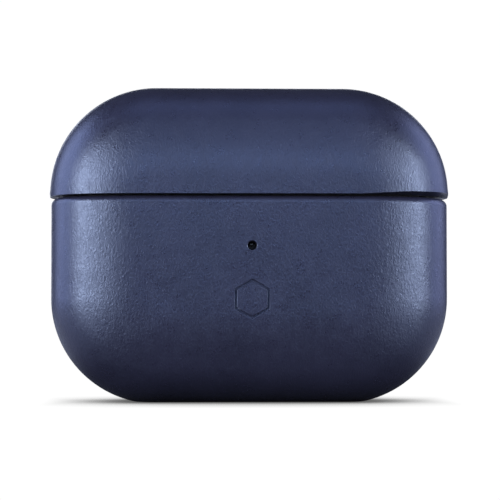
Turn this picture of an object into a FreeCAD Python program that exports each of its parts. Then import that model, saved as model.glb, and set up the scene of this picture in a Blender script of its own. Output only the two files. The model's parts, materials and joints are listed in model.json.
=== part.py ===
"""A wireless earbuds charging case in a moulded leather cover, as a parametric FreeCAD document.

The frame is in millimetres: X to the right, Y to the back, Z up. The origin is the middle of the
flat foot that the closed case stands on. The front, with the status light, faces -Y.
Every size stands once in the sheet below, and each piece takes its own from there by expression.
"""

import FreeCAD, Part
import math
import os
import re

import Sketcher

Vector = FreeCAD.Vector
doc = FreeCAD.newDocument("earbud_case")

SIZES = {
    # the outer form of the base's leather
    "case_width": 63.6,
    "case_height": 50.3,  # from the foot to the top of the lid
    "half_depth": 12.5,
    "corner_radius": 16.9,  # of the outline, seen from the front
    "rim_reach": 14.5,  # how far the rounding runs in from the outline
    "face_blend": 24.0,  # radius where the rounding leaves the flat face
    "shoulder_blend": 9.0,  # radius of the middle of the rounding
    "side_blend": 19.0,  # radius over the side, top and bottom
    "foot_flat": 0.4,  # height taken off the round bottom to make the foot
    "lid_proud": 0.2,  # how far the lid's leather stands out past the base's
    "parting_height": 32.5,
    # the leather cover
    "leather": 1.0,
    "leather_gap": 0.3,
    "cover_wall": 0.6,  # the board inside the leather
    "cover_gap": 0.1,  # between the board and the plastic case inside it
    "edge_turn": 0.8,  # height of the leather turned in over the board's edge
    "hole_turn": 0.3,  # the same at the round holes and at the port
    "mark_radius": 3.1,
    "mark_line": 0.35,
    "mark_cut": 0.2,
    "mark_height": 16.3,
    # the plastic shells and the moulded trays inside them
    "shell_wall": 1.3,
    "shell_gap": 0.2,
    "fit_gap": 0.1,
    "deck": 1.2,
    "lip_step": 1.3,  # how far in from the base deck's edge the lip stands
    "lip_rise": 0.9,  # the lip's top, above the parting height
    "lip_gap": 0.3,
    "bowl_margin": 15.3,  # from the case's side to the middle of an earbud bowl
    "bowl_half_length": 10.0,
    "bowl_half_width": 7.4,
    "bowl_half_height": 9.5,
    "bowl_rise": 0.5,  # the bowl's middle, above the parting height
    "bowl_wall": 1.0,
    "stem_radius": 3.6,
    "stem_wall": 0.9,
    "stem_shift": 1.0,  # the stem well's middle, out from the bowl's
    "stem_forward": 1.0,
    "stem_floor": 8.5,
    "floor_wall": 1.0,
    # the hinge
    "barrel_radius": 1.3,
    "spine_length": 12.0,
    "hinge_length": 22.0,
    "knuckle_gap": 0.15,
    "pin_radius": 0.6,
    "pin_play": 0.03,
    "pin_overhang": 0.2,
    "leaf": 0.7,  # thickness of the hinge's sheet metal
    "leaf_gap": 0.2,
    "leaf_drop": 5.0,  # from the axis to the far edge of either leaf
    "notch_gap": 0.2,
    "slot_rise": 2.1,  # half the height of the slot in the leather behind the axis
    "slot_margin": 5.8,  # from the case's side to the slot's end
    "screw_radius": 0.55,
    "screw_head": 1.1,
    "screw_head_depth": 0.5,
    "screw_point": 0.3,
    "screw_length": 2.5,
    "screw_play": 0.05,
    "base_screw_spread": 3.8,
    "lid_screw_spread": 8.4,
    "screw_offset": 3.6,  # from the hinge's axis to either row of screws
    "boss_depth": 3.0,
    "boss_margin": 1.8,
    # the magnets
    "magnet_length": 5.0,
    "magnet_side": 2.0,
    "magnet_offset": 5.0,
    "magnet_setback": 0.8,  # from the shell's inside to the magnets' front
    "bud_magnet_height": 6.0,
    "bud_magnet_width": 3.6,
    "bud_magnet_side": 1.6,
    "bud_magnet_foot": 12.0,
    # the charging contacts
    "contact_radius": 0.45,
    "contact_rise": 1.0,
    "contact_length": 3.3,
    "contact_tip": 0.15,
    "contact_pitch": 3.0,
    "barrel_wall": 0.3,
    "contact_play": 0.05,
    "contact_barrel_length": 3.5,
    "block_half_length": 3.0,
    "block_reach": 2.0,  # from the contacts to the block's front
    "block_foot": 4.5,
    "flex": 0.15,
    "flex_gap": 0.6,  # from the port to the flat cable that passes behind it
    "flex_foot": 5.2,
    "flex_width": 2.0,
    "flex_tab": 6.0,
    # the battery and the boards
    "battery_foot": 10.2,
    "battery_top": 22.9,
    "battery_front": 4.9,
    "battery_back": 5.5,
    "battery_edge": 1.5,
    "battery_clearance": 1.2,
    "board": 0.8,
    "board_setback": 2.1,  # from the shell's inside to the main board's front
    "board_half_width": 8.5,
    "board_foot": 9.6,
    "board_top": 29.0,
    "chip": 0.8,
    "charger_chip": 3.8,
    "charger_chip_foot": 11.6,
    "radio_chip": 4.6,
    "radio_chip_foot": 17.0,
    "coil_chip": 2.2,
    "coil_chip_offset": 5.2,
    "lid_sensor": 1.6,
    "lid_sensor_drop": 1.9,  # from the board's top to the sensor's
    "led_height": 24.6,
    "led_hole": 0.7,
    "pipe_radius": 0.6,
    "pipe_play": 0.05,
    "pipe_flange": 1.1,
    "led": 1.6,
    "led_depth": 0.6,
    # the pairing button
    "button_height": 22.9,
    "button_radius": 2.5,
    "button_play": 0.06,
    "button_proud": 0.3,
    "button_flange": 3.0,
    "button_flange_depth": 0.7,
    "button_stem": 0.8,
    "button_stem_length": 0.55,
    "button_hole": 3.4,
    "button_travel": 0.35,
    "switch_depth": 0.8,
    "switch_side": 3.2,
    "switch_board": 0.6,
    # the charging port
    "port_width": 8.94,
    "port_depth": 3.26,
    "port_wall": 0.3,
    "port_flat": 0.1,  # the straight left at the middle of each round end
    "port_length": 7.0,
    "port_opening_width": 12.4,
    "port_opening_depth": 6.4,
    "port_play": 0.05,
    "trim_wall": 0.8,
    "trim_height": 0.6,
    "tongue_width": 6.7,
    "tongue": 0.7,
    "tongue_setback": 1.2,
    "port_board_width": 15.0,
    "port_board_depth": 7.0,
    # the wireless charging coil
    "coil_radius": 6.8,
    "coil_bore": 3.2,
    "coil": 0.7,
    "coil_height": 13.6,
    "coil_setback": 1.5,  # from the shell's inside to the coil
    "ferrite": 0.5,
    "ferrite_margin": 0.4,
    "ferrite_gap": 0.1,
}

sheet = doc.addObject("Spreadsheet::Sheet", "Sizes")
for row, (alias, number_of_mm) in enumerate(SIZES.items(), start=1):
    sheet.set(f"A{row}", alias)
    sheet.set(f"B{row}", str(number_of_mm))
    sheet.setAlias(f"B{row}", alias)
doc.recompute()

# ---------------------------------------------------------------- places worked out from the sizes

SPACE = "(leather + cover_wall)"  # inset of the space inside the leather cover
SHELL = "(leather + cover_wall + cover_gap)"  # inset of the plastic shells' outside
INSIDE = f"({SHELL} + shell_wall)"  # inset of the shells' inside
TRAY = f"({INSIDE} + fit_gap)"  # inset of the trays' edges
LIP = f"({TRAY} + lip_step)"
FORM_FOOT = "(-foot_flat)"
FORM_TOP = "(case_height - lid_proud)"
SHELL_FOOT = f"({FORM_FOOT} + {SHELL})"
INSIDE_FOOT = f"({FORM_FOOT} + {INSIDE})"
BACK = f"(half_depth - {INSIDE})"  # Y of the shells' inside, at the flat of the back
LIP_TOP = "(parting_height + lip_rise)"
BASE_DECK_TOP = "(parting_height - shell_gap / 2)"
BASE_DECK_FOOT = "(parting_height - deck)"
LID_DECK_FOOT = f"({LIP_TOP} + lip_gap)"
LID_DECK_TOP = f"({LID_DECK_FOOT} + deck)"
BOWL_X = "(case_width / 2 - bowl_margin)"
BOWL_Z = "(parting_height + bowl_rise)"
STEM_X = f"({BOWL_X} + stem_shift)"
STEM_Y = "(-stem_forward)"
STEM_OUTSIDE = "(stem_radius + stem_wall)"
AXIS_Y = "(half_depth - barrel_radius)"
AXIS_Z = "parting_height"
LEAF_BACK = f"({BACK} - leaf_gap)"
LEAF_FRONT = f"({LEAF_BACK} - leaf)"
BARREL_BORE = "(pin_radius + pin_play)"
BOARD_FRONT = f"(-({BACK} - board_setback))"
BOARD_BACK = f"({BOARD_FRONT} + board)"
CONTACT_BORE = "(contact_radius + contact_play)"
CONTACT_OUTSIDE = f"({CONTACT_BORE} + barrel_wall)"
PORT_MOUTH = f"({SHELL_FOOT} + fit_gap)"
PORT_TOP = f"({PORT_MOUTH} + port_length)"
FLEX_FRONT = "(port_depth / 2 + flex_gap)"
FLANGE_BACK = f"({BACK} - fit_gap)"
FLANGE_FRONT = f"({FLANGE_BACK} - button_flange_depth)"
STEM_TIP = f"({FLANGE_FRONT} - button_stem_length)"
SWITCH_BACK = f"({STEM_TIP} - button_travel - fit_gap)"
SWITCH_FRONT = f"({SWITCH_BACK} - switch_depth)"
COIL_BACK = f"({BACK} - coil_setback)"
COIL_FRONT = f"({COIL_BACK} - coil)"
FAR = "(case_width + case_height)"  # past every piece, for boxes that only cut


# ---------------------------------------------------------------- helpers


def named(expression):
    """The expression with each size's name pointed at the sheet."""
    def point(word):
        return "Sizes." + word.group(0) if word.group(0) in SIZES else word.group(0)

    return re.sub(r"[a-z_]+", point, expression)


def bind(thing, setting, expression):
    thing.setExpression(setting, named(expression))


def read(expression):
    """What an expression of the sizes comes to now, for a sketch's first guess."""
    return float(sheet.evalExpression(named(expression)))


def new_body(label):
    body = doc.addObject("PartDesign::Body", label)
    body.Label = label
    return body


def new_sketch(body, plane, height="0"):
    """An empty sketch on one of the body's own planes, at that height along the plane's axis."""
    sketch = body.newObject("Sketcher::SketchObject", body.Label + "_sketch")
    origin_plane = next(f for f in body.Origin.OriginFeatures if f.Role == plane + "_Plane")
    sketch.AttachmentSupport = [(origin_plane, "")]
    sketch.MapMode = "FlatFace"
    outward = f"-({height})" if plane == "XZ" else height  # the XZ plane's normal is -Y
    bind(sketch, "AttachmentOffset.Base.z", outward)
    return sketch


def dimension(sketch, constraint, expression):
    place = sketch.addConstraint(constraint)
    bind(sketch, f"Constraints[{place}]", expression)


def pin_point(sketch, geometry, end, x, y):
    """Ties one end (1 or 2) or the centre (3) of a line or arc to a place in the sketch."""
    here = sketch.getPoint(geometry, end)
    if x is not None:
        dimension(sketch, Sketcher.Constraint("DistanceX", -1, 1, geometry, end, here.x), x)
    if y is not None:
        dimension(sketch, Sketcher.Constraint("DistanceY", -1, 1, geometry, end, here.y), y)


def polygon(sketch, points):
    """A closed outline of straight lines through points given as pairs of expressions."""
    corners = [Vector(read(x), read(y), 0) for x, y in points]
    count = len(points)
    first = sketch.GeometryCount
    for k in range(count):
        sketch.addGeometry(Part.LineSegment(corners[k], corners[(k + 1) % count]), False)
    for k in range(count):
        after = first + (k + 1) % count
        sketch.addConstraint(Sketcher.Constraint("Coincident", first + k, 2, after, 1))
    for k, (x, y) in enumerate(points):
        pin_point(sketch, first + k, 1, x, y)


def circle(sketch, radius, x="0", y="0"):
    centre = Vector(read(x), read(y), 0)
    place = sketch.addGeometry(Part.Circle(centre, Vector(0, 0, 1), read(radius)), False)
    dimension(sketch, Sketcher.Constraint("Radius", place, read(radius)), radius)
    pin_point(sketch, place, 3, x, y)


def arc(centre, radius, start, end):
    """An arc of a sketch, from one angle to another in degrees, anticlockwise."""
    round_edge = Part.Circle(Vector(*centre, 0), Vector(0, 0, 1), radius)
    return Part.ArcOfCircle(round_edge, math.radians(start), math.radians(end))


def join_smoothly(sketch, pairs):
    for one, other in pairs:
        sketch.addConstraint(Sketcher.Constraint("Tangent", one, 2, other, 1))


def rounded_rectangle(sketch, left, right, low, high, radius):
    """A closed outline of four sides and four equal round corners."""
    x0, x1, y0, y1, r = (read(side) for side in (left, right, low, high, radius))
    first = sketch.GeometryCount
    for piece in (
        Part.LineSegment(Vector(x1, y0 + r, 0), Vector(x1, y1 - r, 0)),
        arc((x1 - r, y1 - r), r, 0, 90),
        Part.LineSegment(Vector(x1 - r, y1, 0), Vector(x0 + r, y1, 0)),
        arc((x0 + r, y1 - r), r, 90, 180),
        Part.LineSegment(Vector(x0, y1 - r, 0), Vector(x0, y0 + r, 0)),
        arc((x0 + r, y0 + r), r, 180, 270),
        Part.LineSegment(Vector(x0 + r, y0, 0), Vector(x1 - r, y0, 0)),
        arc((x1 - r, y0 + r), r, 270, 360),
    ):
        sketch.addGeometry(piece, False)
    join_smoothly(sketch, [(first + k, first + (k + 1) % 8) for k in range(8)])
    for k in (0, 4):
        sketch.addConstraint(Sketcher.Constraint("Vertical", first + k))
        sketch.addConstraint(Sketcher.Constraint("Horizontal", first + k + 2))
    for k in (1, 3, 5, 7):
        dimension(sketch, Sketcher.Constraint("Radius", first + k, r), radius)
    pin_point(sketch, first, 1, right, None)
    pin_point(sketch, first + 2, 1, None, high)
    pin_point(sketch, first + 4, 1, left, None)
    pin_point(sketch, first + 6, 1, None, low)


def pad(body, sketch, length, toward=1):
    """Adds the sketch's outline, pushed along its plane's axis, up (1), down (-1) or both (0)."""
    feature = body.newObject("PartDesign::Pad", body.Label + "_pad")
    feature.Profile = sketch
    bind(feature, "Length", length)
    if toward == 0:
        feature.SideType = "Symmetric"
    else:
        feature.Reversed = (sketch.Placement.Rotation.multVec(Vector(0, 0, 1)).y < 0) == (toward > 0)
    return feature


def revolve(body, sketch, axis):
    feature = body.newObject("PartDesign::Revolution", body.Label + "_turning")
    feature.Profile = sketch
    feature.ReferenceAxis = (sketch, [axis])
    feature.Angle = 360
    return feature


def box(label, x, y, z):
    """A Part::Box between two expressions along each axis."""
    block = doc.addObject("Part::Box", label)
    for size, axis, (low, high) in zip(("Length", "Width", "Height"), "xyz", (x, y, z)):
        bind(block, size, f"({high}) - ({low})")
        bind(block, f"Placement.Base.{axis}", low)
    return block


def cylinder(label, radius, length, x, y, z, axis="z"):
    """A Part::Cylinder that starts at a place and runs along +X, +Y or +Z."""
    rod = doc.addObject("Part::Cylinder", label)
    turns = {"x": (Vector(0, 1, 0), 90), "y": (Vector(1, 0, 0), -90), "z": (Vector(0, 0, 1), 0)}
    rod.Placement = FreeCAD.Placement(Vector(), FreeCAD.Rotation(*turns[axis]))
    bind(rod, "Radius", radius)
    bind(rod, "Height", length)
    for name, place in zip("xyz", (x, y, z)):
        bind(rod, f"Placement.Base.{name}", place)
    return rod


def move(thing, x="0", y="0", z="0"):
    for name, place in zip("xyz", (x, y, z)):
        bind(thing, f"Placement.Base.{name}", place)
    return thing


def boolean(kind, label, shapes):
    joined = doc.addObject(kind, label)
    joined.Shapes = list(shapes)
    joined.Label = label
    return joined


def fuse(label, *shapes):
    return boolean("Part::MultiFuse", label, shapes)


def common(label, *shapes):
    return boolean("Part::MultiCommon", label, shapes)


def cut(label, base, *tools):
    """The base with the tools taken away."""
    result = doc.addObject("Part::Cut", label)
    result.Base = base
    result.Tool = tools[0] if len(tools) == 1 else fuse(label + "_tools", *tools)
    result.Label = label
    return result


def mirrored(thing):
    """The same piece on the other side of the case."""
    copy = doc.addObject("Part::Mirroring", thing.Label + "_mirrored")
    copy.Source = thing
    copy.Normal = Vector(1, 0, 0)
    return copy


def pair(label, thing):
    """A piece and its mirror image, as one node of two solids."""
    both = doc.addObject("Part::Compound", label)
    both.Links = [thing, mirrored(thing)]
    both.Label = label
    return both


nodes = []


def node(thing):
    """Marks a finished piece, whose label names its file."""
    nodes.append(thing)
    return thing


# ---------------------------------------------------------------- the rounded form of the case


def blend_centres(depth, reach, face, shoulder, side):
    """Centres of the three tangent arcs from the flat front to the side, seen from above."""
    face_centre = Vector(0, face - depth, 0)
    side_centre = Vector(reach - side, 0, 0)
    between = side_centre - face_centre
    gap = between.Length
    along = ((face - shoulder) ** 2 - (side - shoulder) ** 2 + gap**2) / (2 * gap)
    across = math.sqrt((face - shoulder) ** 2 - along**2)
    unit = between / gap
    shoulder_centre = face_centre + unit * along + Vector(-unit.y, unit.x, 0) * across
    return face_centre, shoulder_centre, side_centre


def rim_section(sketch, edge, inset):
    """The section of the rounded rim: five tangent arcs, closed by a line at the flat face."""
    inner = [f"({name} - {inset})" for name in
             ("half_depth", "rim_reach", "face_blend", "shoulder_blend", "side_blend")]
    depth, reach, face, shoulder, side = (read(size) for size in inner)
    face_centre, shoulder_centre, side_centre = blend_centres(depth, reach, face, shoulder, side)
    first_turn = math.degrees((shoulder_centre - face_centre).getAngle(Vector(1, 0, 0)))
    second_turn = math.degrees((shoulder_centre - side_centre).getAngle(Vector(1, 0, 0)))
    x = read(edge)
    for centre, radius, start, end in (
        (face_centre, face, -90, -first_turn),
        (shoulder_centre, shoulder, -first_turn, -second_turn),
        (side_centre, side, -second_turn, second_turn),
        (Vector(shoulder_centre.x, -shoulder_centre.y, 0), shoulder, second_turn, first_turn),
        (Vector(0, -face_centre.y, 0), face, first_turn, 90),
    ):
        sketch.addGeometry(arc((centre.x + x, centre.y), radius, start, end), False)
    sketch.addGeometry(Part.LineSegment(Vector(x, depth, 0), Vector(x, -depth, 0)), False)
    join_smoothly(sketch, [(k, k + 1) for k in range(4)])
    sketch.addConstraint(Sketcher.Constraint("Coincident", 4, 2, 5, 1))
    sketch.addConstraint(Sketcher.Constraint("Coincident", 5, 2, 0, 1))
    for k, radius in enumerate((inner[2], inner[3], inner[4], inner[3], inner[2])):
        dimension(sketch, Sketcher.Constraint("Radius", k, read(radius)), radius)
    pin_point(sketch, 5, 1, edge, inner[0])
    pin_point(sketch, 5, 2, edge, f"-{inner[0]}")
    pin_point(sketch, 0, 3, edge, None)
    pin_point(sketch, 4, 3, edge, None)
    pin_point(sketch, 2, 3, f"{edge} + {inner[1]} - {inner[4]}", "0")


def form(label, inset):
    """The whole case's rounded form, that far in from the base's leather on every side."""
    body = new_body(label)
    side = "(case_width / 2 - rim_reach)"
    low = f"({FORM_FOOT} + rim_reach)"
    high = f"({FORM_TOP} - rim_reach)"
    corner = "(corner_radius - rim_reach)"
    outline = new_sketch(body, "XZ")
    rounded_rectangle(outline, f"-{side}", side, low, high, corner)
    section = new_sketch(body, "XY", f"{low} + {corner}")
    rim_section(section, side, inset)
    doc.recompute()
    pad(body, outline, f"2 * (half_depth - {inset})", toward=0)
    rim = body.newObject("PartDesign::AdditivePipe", label + "_rim")
    rim.Profile = (section, [""])
    rim.Spine = (outline, [])
    doc.recompute()
    return body


lid_outside = form("lid_outside", "(-lid_proud)")
base_outside = form("base_outside", "0")
cover_outside = form("cover_outside", "leather")
cover_inside = form("cover_inside", SPACE)
shell_outside = form("shell_outside", SHELL)
shell_inside = form("shell_inside", INSIDE)
tray_edge = form("tray_edge", TRAY)
lip_edge = form("lip_edge", LIP)


def slab(label, low, high):
    """A box as wide as any piece between two heights, to keep or to take away a layer."""
    return box(label, (f"-{FAR}", FAR), (f"-{FAR}", FAR), (low, high))


# ---------------------------------------------------------------- the leather cover

def hinge_slot(label, margin="0"):
    """The slot behind the hinge's axis, which the cover needs to clear as the lid swings."""
    end = f"(case_width / 2 - slot_margin + {margin})"
    rise = f"(slot_rise + {margin})"
    return box(label, (f"-{end}", end), ("0", FAR), (f"{AXIS_Z} - {rise}", f"{AXIS_Z} + {rise}"))


def slot_outline(sketch, width, depth):
    """A closed outline with round ends, as a charging port has."""
    half_width, half_depth = f"(({width}) / 2)", f"(({depth}) / 2)"
    rounded_rectangle(sketch, f"-{half_width}", half_width, f"-{half_depth}", half_depth,
                      f"{half_depth} - port_flat / 2")


def port_hole(label, width, depth, high):
    """A cutter with round ends, from below the case up to that height."""
    body = new_body(label)
    sketch = new_sketch(body, "XY", f"-{FAR}")
    slot_outline(sketch, width, depth)
    pad(body, sketch, f"({high}) + {FAR}")
    return body


def round_holes(label, turn):
    """Cutters for the status light's hole in the front and the button's in the back."""
    light = cylinder(f"{label}_light_hole", f"led_hole + {turn}", FAR, "0", f"-{FAR}", "led_height",
                     axis="y")
    finger = cylinder(f"{label}_button_hole", f"button_hole + {turn}", FAR, "0", "0",
                      "button_height", axis="y")
    return light, finger


def leather_cover():
    """The board that stiffens each half, then the leather over it, turned in at every edge."""
    base_edge = "(parting_height - leather_gap / 2)"
    lid_edge = "(parting_height + leather_gap / 2)"
    wide_slot = hinge_slot("board_slot", "edge_turn")
    port = port_hole("board_port_hole", "port_opening_width + 2 * hole_turn",
                     "port_opening_depth + 2 * hole_turn", INSIDE_FOOT)
    base_layer = slab("base_board_layer", "0", f"{base_edge} - edge_turn")
    base_board = node(cut("base_cover_board", common("base_board_form", cover_outside, base_layer),
                          cover_inside, wide_slot, port, *round_holes("board", "hole_turn")))
    lid_layer = slab("lid_board_layer", f"{lid_edge} + edge_turn", FAR)
    lid_board = node(cut("lid_cover_board", common("lid_board_form", cover_outside, lid_layer),
                         cover_inside, wide_slot))

    slot = hinge_slot("slot")
    port = port_hole("leather_port_hole", "port_opening_width", "port_opening_depth", INSIDE_FOOT)
    base_layer = slab("base_leather_layer", "0", base_edge)
    node(cut("base_leather", common("base_leather_form", base_outside, base_layer),
             cover_inside, base_board, slot, port, mark(), *round_holes("leather", "0")))
    lid_layer = slab("lid_leather_layer", lid_edge, FAR)
    node(cut("lid_leather", common("lid_leather_form", lid_outside, lid_layer),
             cover_inside, lid_board, slot))


def mark():
    """A plain pressed hexagon on the front, below the status light."""
    rings = []
    for label, radius in (("mark_outer", "mark_radius"), ("mark_inner", "mark_radius - mark_line")):
        prism = doc.addObject("Part::Prism", label)
        prism.Polygon = 6
        upright = FreeCAD.Rotation(Vector(0, 1, 0), 30)
        prism.Placement = FreeCAD.Placement(
            Vector(), upright.multiply(FreeCAD.Rotation(Vector(1, 0, 0), 90)))
        bind(prism, "Circumradius", radius)
        bind(prism, "Height", "2 * mark_cut")
        rings.append(move(prism, y="mark_cut - half_depth", z="mark_height"))
    return cut("mark_cutter", *rings)


leather_cover()

# ---------------------------------------------------------------- the plastic shells


def hinge_notch(label, front):
    """The room round the hinge's barrel and the arms that run in from it, back from that Y."""
    end = "(hinge_length / 2 + 2 * notch_gap)"
    rise = "(barrel_radius + notch_gap)"
    return box(label, (f"-{end}", end), (front, FAR), (f"{AXIS_Z} - {rise}", f"{AXIS_Z} + {rise}"))


def shells():
    notch = hinge_notch("shell_notch", "0")
    lower = slab("base_shell_layer", "0", BASE_DECK_TOP)
    button = cylinder("button_bore", "button_radius + button_play", "half_depth", "0", "0",
                      "button_height", axis="y")
    light = cylinder("light_bore", "pipe_radius + pipe_play", "half_depth", "0", "-half_depth",
                     "led_height", axis="y")
    port = port_hole("shell_port_hole", "port_width + 2 * port_play", "port_depth + 2 * port_play",
                     PORT_TOP)
    seat = port_hole("trim_seat", "port_width + 2 * (trim_wall + port_play)",
                     "port_depth + 2 * (trim_wall + port_play)", f"{SHELL_FOOT} + trim_height")
    base_form = common("base_shell_form", shell_outside, lower)
    node(cut("base_shell", base_form, shell_inside, notch, button, light, port, seat))
    upper = slab("lid_shell_layer", "parting_height + shell_gap / 2", FAR)
    lid_form = common("lid_shell_form", shell_outside, upper)
    node(cut("lid_shell", lid_form, shell_inside, notch))


shells()

# ---------------------------------------------------------------- the trays that hold the earbuds


def bowl(label, side, wall):
    """The ellipsoid that an earbud's head lies in, or the outside of the wall around it."""
    ball = doc.addObject("Part::Ellipsoid", label)
    for radius, size in (("Radius1", "bowl_half_height"), ("Radius2", "bowl_half_length"),
                         ("Radius3", "bowl_half_width")):
        bind(ball, radius, f"{size} + {wall}")
    ball.Angle1 = -90
    ball.Angle2 = 90
    ball.Angle3 = 360
    return move(ball, f"{side} * {BOWL_X}", "0", BOWL_Z)


def screw_holes(label, spread, height):
    """Two holes for the screws of one hinge leaf, through the leaf and into the tray's boss."""
    holes = []
    for side in (-1, 1):
        holes.append(cylinder(f"{label}_{side}", "screw_radius + screw_play", "2 * screw_length",
                              f"{side} * {spread}", f"{LEAF_BACK} - screw_length - screw_play",
                              height, axis="y"))
    return holes


def boss(label, half_width, low, high):
    """The block behind a hinge leaf that its screws bite into."""
    face = f"({LEAF_FRONT} - screw_play)"
    return box(label, (f"-({half_width})", half_width), (f"{face} - boss_depth", face), (low, high))


def leaf_pocket(label, half_width, low, high):
    """The room at a tray's back edge for a hinge leaf."""
    return box(label, (f"-({half_width})", half_width), (f"{LEAF_FRONT} - screw_play", FAR), (low, high))


def base_tray():
    deck = common("base_deck", tray_edge, slab("base_deck_layer", BASE_DECK_FOOT, BASE_DECK_TOP))
    lip = common("base_lip", lip_edge, slab("base_lip_layer", BASE_DECK_FOOT, LIP_TOP))
    below = slab("below_lip", "0", LIP_TOP)
    tube_foot = "(stem_floor - floor_wall)"
    pieces, hollows = [deck, lip], []
    for name, side in (("left", -1), ("right", 1)):
        place = (f"{side} * {STEM_X}", STEM_Y)
        cup = common(f"cup_{name}", bowl(f"cup_form_{name}", side, "bowl_wall"), below)
        tube = cylinder(f"tube_{name}", STEM_OUTSIDE, f"{BOWL_Z} - {tube_foot}", *place, tube_foot)
        pieces += [cup, tube]
        hollows.append(bowl(f"bowl_{name}", side, "0"))
        hollows.append(cylinder(f"stem_{name}", "stem_radius", f"{BOWL_Z} - stem_floor", *place,
                                "stem_floor"))
        for step in (-0.5, 0.5):
            hollows.append(cylinder(f"contact_hole_{name}_{step}", f"{CONTACT_OUTSIDE} + contact_play",
                                    "2 * floor_wall", f"{place[0]} + {step} * contact_pitch", STEM_Y,
                                    f"{tube_foot} - floor_wall / 2"))
    leaf_low = f"({AXIS_Z} - leaf_drop)"
    pieces.append(boss("base_boss", "base_screw_spread + boss_margin", leaf_low, BASE_DECK_FOOT))
    hollows.append(leaf_pocket("base_leaf_pocket", "spine_length / 2 + notch_gap", "0", AXIS_Z))
    hollows.append(hinge_notch("deck_notch", f"{AXIS_Y} - barrel_radius - notch_gap"))
    hollows += screw_holes("base_screw_hole", "base_screw_spread", f"{AXIS_Z} - screw_offset")
    node(cut("earbud_tray", fuse("earbud_tray_form", *pieces), *hollows))


def lid_tray():
    deck = common("lid_deck", tray_edge, slab("lid_deck_layer", LID_DECK_FOOT, LID_DECK_TOP))
    above = slab("above_lip", LID_DECK_FOOT, FAR)
    pieces, hollows = [deck], []
    for name, side in (("left", -1), ("right", 1)):
        cup = bowl(f"lid_cup_form_{name}", side, "bowl_wall")
        pieces.append(common(f"lid_cup_{name}", cup, above))
        hollows.append(bowl(f"lid_bowl_{name}", side, "0"))
    leaf_high = f"({AXIS_Z} + leaf_drop)"
    pieces.append(boss("lid_boss", "lid_screw_spread + boss_margin", LID_DECK_FOOT, leaf_high))
    hollows.append(leaf_pocket("lid_leaf_pocket", "hinge_length / 2 + notch_gap", "0",
                               f"{leaf_high} + notch_gap"))
    hollows += screw_holes("lid_screw_hole", "lid_screw_spread", f"{AXIS_Z} + screw_offset")
    node(cut("lid_tray", fuse("lid_tray_form", *pieces), *hollows))


base_tray()
lid_tray()

# ---------------------------------------------------------------- the hinge


def knuckle(label, start, length):
    """A length of the hinge's barrel, bored for the pin, lying along X."""
    body = new_body(label)
    sketch = new_sketch(body, "YZ", start)
    circle(sketch, "barrel_radius", AXIS_Y, AXIS_Z)
    circle(sketch, BARREL_BORE, AXIS_Y, AXIS_Z)
    pad(body, sketch, length)
    return body


def leaf_section(label, start, length, side):
    """The bent sheet metal from the barrel into the case: down (-1) or up (1) behind the shell."""
    body = new_body(label)
    sketch = new_sketch(body, "YZ", start)
    outer = f"{AXIS_Z} + {side} * barrel_radius"
    inner = f"{AXIS_Z} + {side} * (barrel_radius - leaf)"
    end = f"{AXIS_Z} + {side} * leaf_drop"
    polygon(sketch, [(AXIS_Y, inner), (LEAF_FRONT, inner), (LEAF_FRONT, end), (LEAF_BACK, end),
                     (LEAF_BACK, outer), (AXIS_Y, outer)])
    pad(body, sketch, length)
    return body


def countersinks(label, spread, height):
    """The screws' own turned shape, a little larger, at both places."""
    sinks = []
    for side in (-1, 1):
        cone = doc.addObject("Part::Cone", f"{label}_{side}")
        bind(cone, "Radius1", "screw_radius + screw_play")
        bind(cone, "Radius2", "screw_head + screw_play")
        bind(cone, "Height", "screw_head_depth")
        cone.Placement = FreeCAD.Placement(Vector(), FreeCAD.Rotation(Vector(1, 0, 0), -90))
        sinks.append(move(cone, f"{side} * {spread}", f"{LEAF_BACK} - screw_head_depth", height))
    return sinks


def bore(label):
    """A cutter for the pin's hole along the whole hinge."""
    return cylinder(label, BARREL_BORE, "2 * hinge_length", "-hinge_length", AXIS_Y, AXIS_Z, axis="x")


def hinge_base_leaf():
    spine = knuckle("spine", "-spine_length / 2", "spine_length")
    sheet_metal = leaf_section("base_leaf_metal", "-spine_length / 2", "spine_length", -1)
    height = f"{AXIS_Z} - screw_offset"
    node(cut("hinge_base_leaf", fuse("base_leaf_form", spine, sheet_metal), bore("base_leaf_bore"),
             *screw_holes("base_leaf_hole", "base_screw_spread", height),
             *countersinks("base_leaf_sink", "base_screw_spread", height)))


def hinge_lid_leaf():
    start = "(spine_length / 2 + knuckle_gap)"
    length = f"hinge_length / 2 - {start}"
    ear = knuckle("lid_knuckle", start, length)
    sheet_metal = leaf_section("lid_leaf_metal", "-hinge_length / 2", "hinge_length", 1)
    gap = box("spine_room", (f"-{start}", start), (LEAF_BACK, FAR), ("0", FAR))
    height = f"{AXIS_Z} + screw_offset"
    form_of_leaf = fuse("lid_leaf_form", ear, mirrored(ear), cut("lid_leaf_sheet", sheet_metal, gap))
    node(cut("hinge_lid_leaf", form_of_leaf, bore("lid_leaf_bore"),
             *screw_holes("lid_leaf_hole", "lid_screw_spread", height),
             *countersinks("lid_leaf_sink", "lid_screw_spread", height)))


def hinge_pin():
    body = new_body("hinge_pin")
    sketch = new_sketch(body, "XZ")
    end = "(hinge_length / 2 + pin_overhang)"
    bevel = "pin_overhang"
    polygon(sketch, [(f"-{end}", "0"), (end, "0"), (end, f"pin_radius - {bevel}"),
                     (f"{end} - {bevel}", "pin_radius"), (f"-{end} + {bevel}", "pin_radius"),
                     (f"-{end}", f"pin_radius - {bevel}")])
    revolve(body, sketch, "H_Axis")
    node(move(body, "0", AXIS_Y, AXIS_Z))


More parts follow.
